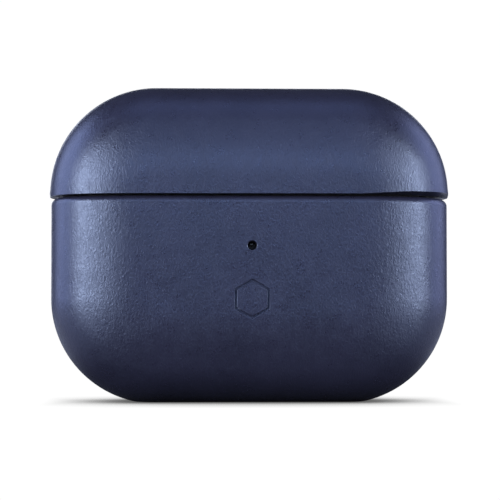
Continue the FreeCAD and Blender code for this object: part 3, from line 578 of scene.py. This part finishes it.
# %% The base's leather
base_leather = pebble("base_leather_skin", 0)
slice_off(base_leather, PARTING - LEATHER_GAP / 2, above=True, fill=False)
give_wall(base_leather, LEATHER_WALL)
slice_off(base_leather, 0, above=False)
rim = PARTING - LEATHER_GAP / 2
pull_rim(base_leather, rim, BASE_PULL)
print("rim edges rolled:", round_edges(
    base_leather, lambda e: outside_edge(e, rim), BASE_ROLL * MM, 6))
carve(base_leather, [
    slot_cutter(),
    mark_cutter(),
    drum("light", LIGHT_HOLE, (0, -20, LIGHT_Z), (0, 0, LIGHT_Z), 48),
    drum("finger", BUTTON_HOLE, (0, 0, BUTTON_Z), (0, 20, BUTTON_Z), 96),
    lozenge("port", PORT_HALF_WIDTH, PORT_HALF_DEPTH, -3, 4),
])
mend(base_leather, AFTER_CUTS)
print("light hole edges:", round_edges(
    base_leather, lambda e: near_point(e, 0, LIGHT_Z, LIGHT_HOLE + 0.1, -1) and is_sharp(e)
    and on_face(e, -1), LIGHT_ROLL * MM, 3))
print("finger hole edges:", round_edges(
    base_leather, lambda e: near_point(e, 0, BUTTON_Z, BUTTON_HOLE + 0.1, 1) and is_sharp(e)
    and on_face(e, 1), BUTTON_ROLL * MM, 4))
print("slot edges:", round_edges(base_leather, slot_lip, SLOT_ROLL * MM, 3))
print("mark edges:", round_edges(
    base_leather, lambda e: near_point(e, 0, MARK_Z, MARK_RADIUS + 0.2, -1) and is_sharp(e)
    and on_face(e, -1), MARK_ROLL * MM, 2))
print("port edges:", round_edges(
    base_leather, lambda e: is_sharp(e) and all(abs(v.co.z) < 0.02 * MM for v in e.verts)
    and abs(middle(e).x) < (PORT_HALF_WIDTH + 0.1) * MM
    and abs(middle(e).y) < (PORT_HALF_DEPTH + 0.1) * MM, PORT_ROLL * MM, 4))
print("faces:", len(base_leather.data.polygons))

# %% The lid's leather
lid_leather = pebble("lid_leather_skin", -LID_PROUD)
slice_off(lid_leather, PARTING + LEATHER_GAP / 2, above=False, fill=False)
rim = PARTING + LEATHER_GAP / 2
thicken_hem(lid_leather, FORM_TOP - CORNER)
give_wall(lid_leather, LEATHER_WALL + LID_PROUD)
pull_rim(lid_leather, rim, LID_PULL)
print("rim edges rolled:", round_edges(
    lid_leather, lambda e: outside_edge(e, rim), LID_ROLL * MM, 5))
carve(lid_leather, [slot_cutter()])
mend(lid_leather, AFTER_CUTS)
print("slot edges:", round_edges(lid_leather, slot_lip, SLOT_ROLL * MM, 3))
print("faces:", len(lid_leather.data.polygons))

for skin, body, nodes in ((base_leather, "base", ("base_leather", "base_cover_board")),
                          (lid_leather, "lid", ("lid_leather", "lid_cover_board"))):
    smooth(skin, 40)
    skin.data.materials.append(NAVY_LEATHER)
    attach(skin, body)
    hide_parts(*nodes)

# %% [markdown]
# ## The plastic case
# Under the leather is the charging case itself: two thin shells of charcoal plastic, moulded in a
# lightly sparked tool, so their skin is satin with a very fine grain. They are the same pebble,
# stepped in past the cover. A boolean cuts the room for the hinge, the bores for the light and the
# button, and the port with the seat of its trim ring. Their rims get only a small radius: a tight
# crisp edge beside the leather's full one is what tells the two materials apart.

# %% Charcoal plastic


def charcoal_plastic():
    finish = Finish("charcoal_plastic")
    where = finish.place()
    spark = finish.noise(where, 0.16, detail=3.0, roughness=0.6)
    clouds = finish.ramp(finish.noise(where, 6.0, detail=2.0), 0.3, 0.7)
    colour = finish.mix_colour(clouds, (0.031, 0.032, 0.037, 1), (0.040, 0.041, 0.046, 1))
    rough = finish.ramp(finish.noise(where, 2.5, detail=3.0), 0.3, 0.7, 0.34, 0.44)
    return finish.surface(Base_Color=colour, Roughness=rough, Normal=finish.bump(spark, 0.006),
                          IOR=1.5)


CHARCOAL = charcoal_plastic()
SHELL_INSET, SHELL_WALL, SHELL_GAP = 1.7, 1.3, 0.2
RIM_RADIUS = 0.22
HINGE_END, HINGE_RISE, HINGE_ROOM_FRONT = 11.4, 1.5, 4.0
PIPE_BORE, BUTTON_BORE = 0.65, 2.56
CAN_HALF_WIDTH, CAN_HALF_DEPTH = 4.52, 1.68
SEAT_HALF_WIDTH, SEAT_HALF_DEPTH, SEAT_TOP = 5.32, 2.48, 1.9


def at_height(edge, height):
    return all(abs(v.co.z / MM - height) < 0.01 for v in edge.verts)


def finish_piece(thing, body, material, nodes=(), degrees=40):
    """Shades a piece, gives it its material and body, and hides the designed parts it stands for."""
    smooth(thing, degrees)
    thing.data.materials.clear()
    thing.data.materials.append(material)
    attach(thing, body)
    if nodes:
        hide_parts(*nodes)
    return thing


def hinge_room(front):
    """The room for the barrels, from that far back to behind the case."""
    return block("hinge_room", (-HINGE_END, front, PARTING - HINGE_RISE),
                 (HINGE_END, front + 20, PARTING + HINGE_RISE))


# %% The two shells
base_shell = pebble("base_shell_moulding", SHELL_INSET)
base_rim = PARTING - SHELL_GAP / 2
slice_off(base_shell, base_rim, above=True, fill=False)
give_wall(base_shell, SHELL_WALL)
round_edges(base_shell, lambda e: at_height(e, base_rim) and is_sharp(e), RIM_RADIUS * MM, 3)
carve(base_shell, [
    hinge_room(HINGE_ROOM_FRONT),
    drum("light", PIPE_BORE, (0, -20, LIGHT_Z), (0, 0, LIGHT_Z), 48),
    drum("button", BUTTON_BORE, (0, 0, BUTTON_Z), (0, 20, BUTTON_Z), 96),
    lozenge("port", CAN_HALF_WIDTH, CAN_HALF_DEPTH, -3, 6),
    lozenge("seat", SEAT_HALF_WIDTH, SEAT_HALF_DEPTH, -3, SEAT_TOP),
])
finish_piece(mend(base_shell), "base", CHARCOAL, ["base_shell"])

lid_shell = pebble("lid_shell_moulding", SHELL_INSET)
lid_rim = PARTING + SHELL_GAP / 2
slice_off(lid_shell, lid_rim, above=False, fill=False)
give_wall(lid_shell, SHELL_WALL)
round_edges(lid_shell, lambda e: at_height(e, lid_rim) and is_sharp(e), RIM_RADIUS * MM, 3)
carve(lid_shell, [hinge_room(HINGE_ROOM_FRONT)])
finish_piece(mend(lid_shell), "lid", CHARCOAL, ["lid_shell"])
print("shell faces:", len(base_shell.data.polygons), len(lid_shell.data.polygons))

# %% [markdown]
# ## The trays
# The base's tray holds the earbuds: an egg-shaped bowl for each head and a straight well for each
# stem, with two small holes in its floor for the charging pins. A low lip stands up round the deck
# and centres the lid. Each hollow is a sphere stretched to an ellipsoid and cut out of a solid,
# which gives the true rounded rim. Those rims are then bevelled, because a finger slides over them
# each time an earbud is taken out.

# %% The base's tray
TRAY_INSET, LIP_INSET = 3.1, 4.4
DECK_LOW, DECK_HIGH, LIP_HIGH = 31.3, 32.4, 33.4
BOWL_X, BOWL_Z, BOWL = 16.5, 33.0, (10.0, 7.4, 9.5)
BOWL_WALL = 1.0
STEM_X, STEM_Y, STEM_RADIUS, STEM_FLOOR = 17.5, -1.0, 3.6, 8.5
TUBE_RADIUS, TUBE_FOOT = 4.5, 7.5
PIN_STEP, PIN_HOLE = 1.5, 0.85
LEAF_FRONT, LEAF_BACK = 8.55, 20.0
NOTCH_FRONT, DECK_BACK = 9.7, 9.4
BASE_LEAF_ROOM, BASE_BOSS, BASE_BOSS_LOW = 6.2, 5.6, 27.5
BASE_SCREW_X, BASE_SCREW_Z = 3.8, 28.9
SCREW_HOLE, SCREW_TIP, SCREW_BACK, BOSS_DEPTH = 0.6, 7, 9, 3
SINK, BOWL_SINK = 0.2, 0.3
LIP_ROLL, DECK_ROLL, RECESS_ROLL = 0.35, 0.12, 0.3


def layer(name, inset, low, high):
    """A level slice of the pebble."""
    thing = pebble(name, inset)
    slice_off(thing, low, above=False)
    return slice_off(thing, high, above=True)


def both_sides(make):
    return [make(side) for side in (-1, 1)]


def bowl(side, wall=0):
    x, y, z = BOWL
    return egg("bowl", (side * BOWL_X, 0, BOWL_Z), (x + wall, y + wall, z + wall))


def bowl_outside(side, height, above):
    """The outside of a bowl, cut level at a height."""
    return slice_off(bowl(side, BOWL_WALL), height, above=above)


def screw_holes(x, z):
    """Holes for one leaf's two screws, open at their back ends."""
    return both_sides(lambda side: drum(
        "screw", SCREW_HOLE, (side * x, SCREW_TIP, z), (side * x, SCREW_BACK, z), 32))


tray = layer("earbud_tray_moulding", TRAY_INSET, DECK_LOW, DECK_HIGH)
carve(tray, [layer("lip", LIP_INSET, DECK_LOW + SINK, LIP_HIGH)], "UNION")
carve(tray, both_sides(lambda side: bowl_outside(side, DECK_HIGH - BOWL_SINK, True)), "UNION")
carve(tray, both_sides(lambda side: drum(
    "tube", TUBE_RADIUS, (side * STEM_X, STEM_Y, TUBE_FOOT), (side * STEM_X, STEM_Y, BOWL_Z - 2))),
    "UNION")
carve(tray, [block("boss", (-BASE_BOSS, LEAF_FRONT - BOSS_DEPTH, BASE_BOSS_LOW),
                   (BASE_BOSS, LEAF_FRONT, DECK_LOW + SINK / 2))], "UNION")
carve(tray, both_sides(bowl))
carve(tray, both_sides(lambda side: drum(
    "stem", STEM_RADIUS, (side * STEM_X, STEM_Y, STEM_FLOOR), (side * STEM_X, STEM_Y, BOWL_Z))))
carve(tray, [drum("pin", PIN_HOLE, (side * STEM_X + step, STEM_Y, TUBE_FOOT - 1),
                  (side * STEM_X + step, STEM_Y, STEM_FLOOR + 1), 32)
             for side in (-1, 1) for step in (-PIN_STEP, PIN_STEP)])
carve(tray, [block("leaf_room", (-BASE_LEAF_ROOM, LEAF_FRONT, 0),
                   (BASE_LEAF_ROOM, LEAF_BACK, PARTING)), hinge_room(NOTCH_FRONT)])
carve(tray, screw_holes(BASE_SCREW_X, BASE_SCREW_Z))
mend(tray, AFTER_CUTS)
print("bowl and lip rims rounded:", round_edges(
    tray, lambda e: at_height(e, LIP_HIGH) and is_sharp(e), LIP_ROLL * MM, 4))
print("deck edge:", round_edges(
    tray, lambda e: at_height(e, DECK_HIGH) and is_sharp(e)
    and abs(middle(e).y) < DECK_BACK * MM, DECK_ROLL * MM, 2))
finish_piece(mend(tray), "base", CHARCOAL, ["earbud_tray"], 50)
print("tray faces:", len(tray.data.polygons))

# %% The lid's tray
LID_DECK_LOW, LID_DECK_HIGH = 33.7, 34.9
LID_LEAF_ROOM, LID_BOSS, LID_BOSS_HIGH = 11.2, 10.2, 37.5
LID_SCREW_X, LID_SCREW_Z = 8.4, 36.1

lid_tray = layer("lid_tray_moulding", TRAY_INSET, LID_DECK_LOW, LID_DECK_HIGH)
carve(lid_tray, both_sides(
    lambda side: bowl_outside(side, LID_DECK_LOW + BOWL_SINK, False)), "UNION")
carve(lid_tray, [block("boss", (-LID_BOSS, LEAF_FRONT - BOSS_DEPTH, LID_DECK_LOW + SINK),
                       (LID_BOSS, LEAF_FRONT, LID_BOSS_HIGH))], "UNION")
carve(lid_tray, both_sides(bowl))
carve(lid_tray, [block("leaf_room", (-LID_LEAF_ROOM, LEAF_FRONT, 30),
                       (LID_LEAF_ROOM, LEAF_BACK, LID_BOSS_HIGH + SINK))])
carve(lid_tray, screw_holes(LID_SCREW_X, LID_SCREW_Z))
mend(lid_tray, AFTER_CUTS)
print("recess rims rounded:", round_edges(
    lid_tray, lambda e: at_height(e, LID_DECK_LOW) and is_sharp(e), RECESS_ROLL * MM, 4))
finish_piece(mend(lid_tray), "lid", CHARCOAL, ["lid_tray"], 50)
print("lid tray faces:", len(lid_tray.data.polygons))

# %% [markdown]
# ## The metal and small parts
# The hinge, the button, the port and the pins come from the design with exact sizes. What they lack
# is the small broken edge that every real turned or stamped part has, and that catches the light.
# So each is copied, its loose triangles are joined again, flat faces are merged back into one, and
# a Bevel modifier that only works on sharp corners takes the edges off.

# %% Metals


def brushed_steel():
    """Satin steel, with fine lines along the hinge left by the brush."""
    finish = Finish("brushed_steel")
    lines = finish.noise(finish.place((0.05, 1, 1)), 0.10, detail=3.0)
    stains = finish.noise(finish.place(), 1.8, detail=3.0)
    colour = finish.mix_colour(finish.ramp(stains, 0.3, 0.7), (0.50, 0.50, 0.52, 1),
                               (0.62, 0.62, 0.64, 1))
    rough = finish.ramp(lines, 0.3, 0.7, 0.24, 0.40)
    return finish.surface(Base_Color=colour, Metallic=1.0, Roughness=rough,
                          Normal=finish.bump(lines, 0.004))


def plated(name, colour, dull_colour, low, high):
    """Plated metal, a little duller in patches where it has been handled."""
    finish = Finish(name)
    where = finish.place()
    patches = finish.ramp(finish.noise(where, 1.2, detail=3.0), 0.35, 0.7)
    grain = finish.noise(where, 0.08, detail=2.0)
    return finish.surface(Base_Color=finish.mix_colour(patches, colour, dull_colour), Metallic=1.0,
                          Roughness=finish.ramp(patches, 0.0, 1.0, low, high),
                          Normal=finish.bump(grain, 0.002))


STEEL = brushed_steel()
GOLD = plated("gold_plate", (0.92, 0.68, 0.30, 1), (0.80, 0.54, 0.22, 1), 0.16, 0.30)
NICKEL = plated("nickel_plate", (0.62, 0.60, 0.56, 1), (0.50, 0.48, 0.45, 1), 0.18, 0.34)

# %% Plastics of the small parts


def dark_moulding():
    """Black glass-filled plastic, with short pale fibres just under its skin."""
    finish = Finish("dark_moulding")
    fibres = finish.noise(finish.place((1, 0.2, 1)), 0.12, detail=2.0)
    colour = finish.mix_colour(finish.ramp(fibres, 0.55, 0.75), (0.012, 0.012, 0.014, 1),
                               (0.035, 0.035, 0.038, 1))
    return finish.surface(Base_Color=colour, Roughness=0.48, Normal=finish.bump(fibres, 0.003))


def smoked_rod():
    """The light's rod: dark smoked acrylic, which looks black until the lamp behind it is lit."""
    finish = Finish("smoked_rod")
    haze = finish.noise(finish.place(), 0.7, detail=2.0)
    colour = finish.mix_colour(finish.ramp(haze, 0.3, 0.7), (0.004, 0.004, 0.005, 1),
                               (0.009, 0.009, 0.011, 1))
    return finish.surface(Base_Color=colour, Roughness=0.12, IOR=1.49)


DARK_MOULDING, SMOKED = dark_moulding(), smoked_rod()

# %% Breaking the edges of the small parts


def broken_edges(name, node, radius, material, body="base", angle=40):
    """A copy of a designed part with its sharp corners rounded, which stands for that part."""
    take(frame["nodes"][node])
    bpy.ops.object.duplicate()
    thing = bpy.context.object
    bpy.ops.object.parent_clear(type="CLEAR_KEEP_TRANSFORM")
    thing.name = name
    settle(thing)
    mend(thing, 0.003)
    edit(thing)
    bpy.ops.mesh.select_all(action="SELECT")
    bpy.ops.mesh.dissolve_limited(angle_limit=math.radians(1))
    leave_edit()
    bevel = thing.modifiers.new("edge", "BEVEL")
    bevel.width = radius * MM
    bevel.segments = 2
    bevel.limit_method = "ANGLE"
    bevel.angle_limit = math.radians(angle)
    apply_all(thing)
    return finish_piece(thing, body, material, [node], 45)


for name, node, radius, material, slot, body in (
    ("hinge_leaf_of_base", "hinge_base_leaf", 0.10, STEEL, "steel", "base"),
    ("hinge_leaf_of_lid", "hinge_lid_leaf", 0.10, STEEL, "steel", "lid"),
    ("hinge_rod", "hinge_pin", 0.12, STEEL, "steel", "base"),
    ("screws_of_base_leaf", "hinge_base_screws", 0.06, STEEL, "steel", "base"),
    ("screws_of_lid_leaf", "hinge_lid_screws", 0.06, STEEL, "steel", "lid"),
    ("port_can", "port_shell", 0.06, STEEL, "steel", "base"),
    ("port_ring", "port_trim_ring", 0.14, STEEL, "steel", "base"),
    ("port_blade", "port_tongue", 0.08, DARK_MOULDING, "dark_plastic", "base"),
    ("light_rod", "light_pipe", 0.08, SMOKED, "lamp", "base"),
    ("button_cap", "pairing_button", 0.25, CHARCOAL, "case_plastic", "pairing_button"),
):
    piece = broken_edges(name, node, radius, material, body)
    print(name, "faces:", len(piece.data.polygons))

# %% [markdown]
# The port's blade carries gold strips on both faces, which meet the plug's. One strip is made and
# bevelled, then copied along the blade and turned over for the other face.

# %% Gold strips in the port
STRIP_COUNT, STRIP_PITCH, STRIP_WIDTH = 12, 0.5, 0.26
BLADE_LOW, BLADE_FACE = 3.0, 0.35
strips = []
for face in (-1, 1):
    for place in range(STRIP_COUNT):
        x = (place - (STRIP_COUNT - 1) / 2) * STRIP_PITCH
        y = face * (BLADE_FACE + 0.01)
        strip = block("strip", (x - STRIP_WIDTH / 2, y - 0.03, BLADE_LOW),
                      (x + STRIP_WIDTH / 2, y + 0.03, BLADE_LOW + 4))
        round_edges(strip, lambda e: True, 0.02 * MM, 1)
        strips.append(strip)
take(*strips)
bpy.ops.object.join()
strips[0].name = "port_contacts"
finish_piece(strips[0], "base", GOLD)
print("gold strips:", len(strips))

# %% [markdown]
# ## Finishes of the parts inside
# These show only when the case is opened up or its pieces are laid out, yet each is given what it
# is really made of. The coil is enamelled wire wound in a flat spiral, so rings centred on it give
# the turns. The board has tracks under its green lacquer, and the battery is a foil pouch that has
# crinkled a little round its cell.

# %% Board, chips, coil and battery
COIL_CENTRE = (0, 7.65, 13.6)


def lacquered_board():
    finish = Finish("lacquered_board")
    where = finish.place()
    tracks = finish.add("TexBrick", offset=0.5)
    finish.fill(tracks, Vector=where, Scale=1000 / 3, Mortar_Size=0.035, Color1=(0, 0, 0, 1),
                Color2=(0, 0, 0, 1), Mortar=(1, 1, 1, 1))
    specks = finish.ramp(finish.noise(where, 0.9, detail=1.0), 0.62, 0.66)
    copper = finish.math("MAXIMUM", tracks.outputs["Color"], specks)
    colour = finish.mix_colour(copper, (0.018, 0.095, 0.045, 1), (0.045, 0.17, 0.075, 1))
    return finish.surface(Base_Color=colour, Roughness=0.32, Normal=finish.bump(copper, 0.02))


def moulded_chip():
    finish = Finish("moulded_chip")
    grain = finish.noise(finish.place(), 0.06, detail=3.0)
    colour = finish.mix_colour(grain, (0.010, 0.010, 0.011, 1), (0.026, 0.026, 0.028, 1))
    return finish.surface(Base_Color=colour, Roughness=0.55, Normal=finish.bump(grain, 0.006))


def wound_copper():
    finish = Finish("wound_copper")
    coordinates = finish.add("TexCoord")
    centred = finish.add("Mapping")
    finish.fill(centred, Vector=coordinates.outputs["Object"],
                Location=tuple(-value * MM for value in COIL_CENTRE))
    turns = finish.add("TexWave", wave_type="RINGS", rings_direction="Y")
    finish.fill(turns, Vector=centred.outputs["Vector"], Scale=1000 / 8, Distortion=0.3)
    colour = finish.mix_colour(turns.outputs["Color"], (0.22, 0.075, 0.03, 1),
                               (0.78, 0.34, 0.16, 1))
    return finish.surface(Base_Color=colour, Metallic=0.9, Roughness=0.30,
                          Normal=finish.bump(turns.outputs["Color"], 0.05))


def foil_pouch():
    finish = Finish("foil_pouch")
    where = finish.place()
    crinkles = finish.noise(where, 3.0, detail=4.0, roughness=0.6, distortion=1.2)
    colour = finish.mix_colour(finish.ramp(crinkles, 0.35, 0.65), (0.55, 0.55, 0.57, 1),
                               (0.76, 0.76, 0.78, 1))
    return finish.surface(Base_Color=colour, Metallic=1.0, Roughness=0.33,
                          Normal=finish.bump(crinkles, 0.12))


def amber_film():
    """Flat cable: amber film over tracks that run its length."""
    finish = Finish("amber_film")
    tracks = finish.add("TexWave", wave_type="BANDS", bands_direction="Z")
    finish.fill(tracks, Vector=finish.place(), Scale=1000 / 4)
    lines = finish.ramp(tracks.outputs["Fac"], 0.4, 0.6)
    colour = finish.mix_colour(lines, (0.30, 0.12, 0.02, 1), (0.60, 0.30, 0.08, 1))
    return finish.surface(Base_Color=colour, Roughness=0.28, Coat_Weight=0.5, Coat_Roughness=0.1)


def pressed_ferrite():
    finish = Finish("pressed_ferrite")
    grain = finish.noise(finish.place(), 0.25, detail=4.0)
    colour = finish.mix_colour(grain, (0.030, 0.030, 0.033, 1), (0.085, 0.085, 0.090, 1))
    return finish.surface(Base_Color=colour, Roughness=0.62, Normal=finish.bump(grain, 0.01))


def lamp_window():
    """The lamp's milky window, yellowish where the phosphor lies thicker."""
    finish = Finish("lamp_window")
    grain = finish.ramp(finish.noise(finish.place(), 0.5, detail=2.0), 0.3, 0.7)
    colour = finish.mix_colour(grain, (0.80, 0.74, 0.42, 1), (0.86, 0.84, 0.66, 1))
    return finish.surface(Base_Color=colour, Roughness=0.25, Subsurface_Weight=0.2,
                          Subsurface_Scale=0.5 * MM)


INSIDE = {
    lacquered_board(): ["main_board", "port_board", "button_board"],
    moulded_chip(): ["board_chips", "lid_sensor", "button_switch"],
    wound_copper(): ["charging_coil"],
    foil_pouch(): ["battery"],
    amber_film(): ["contact_flex"],
    pressed_ferrite(): ["coil_ferrite"],
    lamp_window(): ["status_led"],
    NICKEL: ["base_closing_magnets", "lid_closing_magnets", "earbud_magnets"],
    GOLD: ["contact_left_inner", "contact_left_outer", "contact_right_inner", "contact_right_outer",
           "contact_barrels_left", "contact_barrels_right"],
    DARK_MOULDING: ["contact_block_left", "contact_block_right"],
}
for material, nodes in INSIDE.items():
    for node in nodes:
        for slot in frame["nodes"][node].material_slots:
            slot.material = material
    print(material.name, "is on", ", ".join(nodes))

# %% [markdown]
# ## The camera
# A small product is best seen through a long lens and from a distance, because a short lens close
# to it would swell its middle. The camera stands a little lower than the middle of the case and two
# degrees to the left, and looks slightly up. Lens and sensor then set how large the case shows.

# %% Camera
DISTANCE, EYE_HEIGHT, TURN = 300.0, 14.0, math.radians(-2.1)
CAMERA_AIM = Vector((0.1, 0, 24.3)) * MM
SENSOR, LENS = 36, 134
bpy.ops.object.camera_add()
camera = bpy.context.object
camera.location = Vector((DISTANCE * math.sin(TURN), -DISTANCE * math.cos(TURN), EYE_HEIGHT)) * MM
camera.rotation_euler = (CAMERA_AIM - camera.location).to_track_quat("-Z", "Y").to_euler()
camera.data.sensor_width = SENSOR
camera.data.lens = LENS
bpy.context.scene.camera = camera
print("camera at", [round(v / MM, 1) for v in camera.location], "mm, lens", LENS, "mm")

# %% [markdown]
# ## The floor
# The object stands on a white sheet that has no edge or horizon. To the camera the floor glows plain
# white, with a painted shadow: greyer where the object shades it closely, which an Ambient Occlusion
# node measures. That painted shadow fades out sideways beyond the corners by a ramp along X, as
# the lights at both sides would wash it out. To light and reflections the same floor is dark near the
# object and paler beyond its two ends, as in a studio where a black card lies under the set and white
# ones beside it: that keeps the underside of dark leather from washing out, and still lifts its lower
# corners.

# %% White floor
bpy.ops.object.select_all(action="DESELECT")
bpy.ops.mesh.primitive_plane_add(size=6, location=(0, 0, 0))
floor = bpy.context.object
floor.name = "floor"
SHADE_REACH = 0.020
SIDE_FADE_START, SIDE_FADE_END = 0.020, 0.034
CARD_START, CARD_END = 0.026, 0.050


def white_floor():
    finish = Finish("white_floor")
    shade = finish.add("AmbientOcclusion", samples=16)
    finish.fill(shade, Distance=SHADE_REACH)
    sideways = finish.add("SeparateXYZ")
    finish.fill(sideways, Vector=finish.place())
    away = finish.math("ABSOLUTE", sideways.outputs["X"])
    # Painted shadow: the occlusion greys the glow near the object, and a ramp on the distance along X
    # lifts it back to white beyond the corners.
    painted_shadow = finish.ramp(shade.outputs["AO"], 0.0, 0.92, 0.12, 1.02)
    painted_side_fade = finish.ramp(away, SIDE_FADE_START, SIDE_FADE_END, 0.0, 1.02)
    glow = finish.add("Emission")
    finish.fill(glow, Color=finish.math("MAXIMUM", painted_shadow, painted_side_fade))
    path = finish.add("LightPath")
    mix = finish.add("MixShader")
    for socket, value in zip(mix.inputs, (path.outputs["Is Camera Ray"], finish.shader.outputs[0],
                                          glow.outputs[0])):
        finish.feed(socket, value)
    finish.feed(finish.nodes["Material Output"].inputs["Surface"], mix.outputs[0])
    cards = finish.ramp(away, CARD_START, CARD_END, 0.02, 0.45)
    return finish.surface(Base_Color=cards, Roughness=0.8)


floor.data.materials.append(white_floor())
print("floor:", floor.data.materials[0].name)

# %% [markdown]
# ## The light
# Two large softboxes at the front left and right draw the long soft highlights down the shoulders.
# Two wide bluish ones at the sides, a little behind the case, light its edges, so the dark leather
# stands off the white. Weak ones in front, above and overhead shade the front from top to bottom,
# and one behind lights the hinge. The world is white to the camera only, and nearly dark to the
# leather.

# %% Softboxes
AIM = (0, 0, 25)
HIGH_AIM = (0, 0, 30)


def softbox(name, place, aim_at, size, power, tint=(1, 1, 1)):
    """A rectangular lamp of that width and height in mm, hidden from the camera."""
    bpy.ops.object.light_add(type="AREA", location=Vector(place) * MM)
    lamp = bpy.context.object
    lamp.name = name
    lamp.rotation_euler = (Vector(aim_at) * MM - lamp.location).to_track_quat("-Z", "Y").to_euler()
    lamp.data.shape = "RECTANGLE"
    lamp.data.size, lamp.data.size_y = size[0] * MM, size[1] * MM
    lamp.data.energy = power
    lamp.data.color = tint
    lamp.visible_camera = False
    return lamp


softbox("left_box", (-262, -200, 92), AIM, (210, 180), 1.42)
softbox("right_box", (268, -190, 92), AIM, (176, 180), 1.05)
softbox("left_rim_box", (-320, 80, 150), AIM, (300, 300), 0.92, (0.57, 0.66, 1.0))
softbox("right_rim_box", (320, 80, 150), AIM, (300, 300), 0.70, (0.58, 0.64, 1.0))
softbox("front_box", (0, -260, 100), HIGH_AIM, (240, 60), 0.165, (0.60, 0.74, 1.0))
softbox("top_box", (0, -230, 230), HIGH_AIM, (240, 140), 0.09, (0.62, 0.74, 1.0))
softbox("over_box", (0, -60, 320), HIGH_AIM, (240, 160), 0.10, (0.50, 0.62, 1.0))
softbox("back_box", (0, 340, 80), AIM, (260, 130), 0.28, (0.75, 0.82, 1.0))

SKY_DARK, SKY_WHITE = (0.05, 0.055, 0.065, 1), (1.02, 1.02, 1.02, 1)
world = bpy.data.worlds.new("studio")
world.use_nodes = True
sky = world.node_tree
path = sky.nodes.new("ShaderNodeLightPath")
shine = sky.nodes.new("ShaderNodeMix")
shine.data_type = "RGBA"
sky.links.new(path.outputs["Is Camera Ray"], shine.inputs[0])
shine.inputs[6].default_value = SKY_DARK
shine.inputs[7].default_value = SKY_WHITE
sky.links.new(shine.outputs[2], sky.nodes["Background"].inputs["Color"])
bpy.context.scene.world = world
bpy.context.scene.view_settings.view_transform = "Standard"
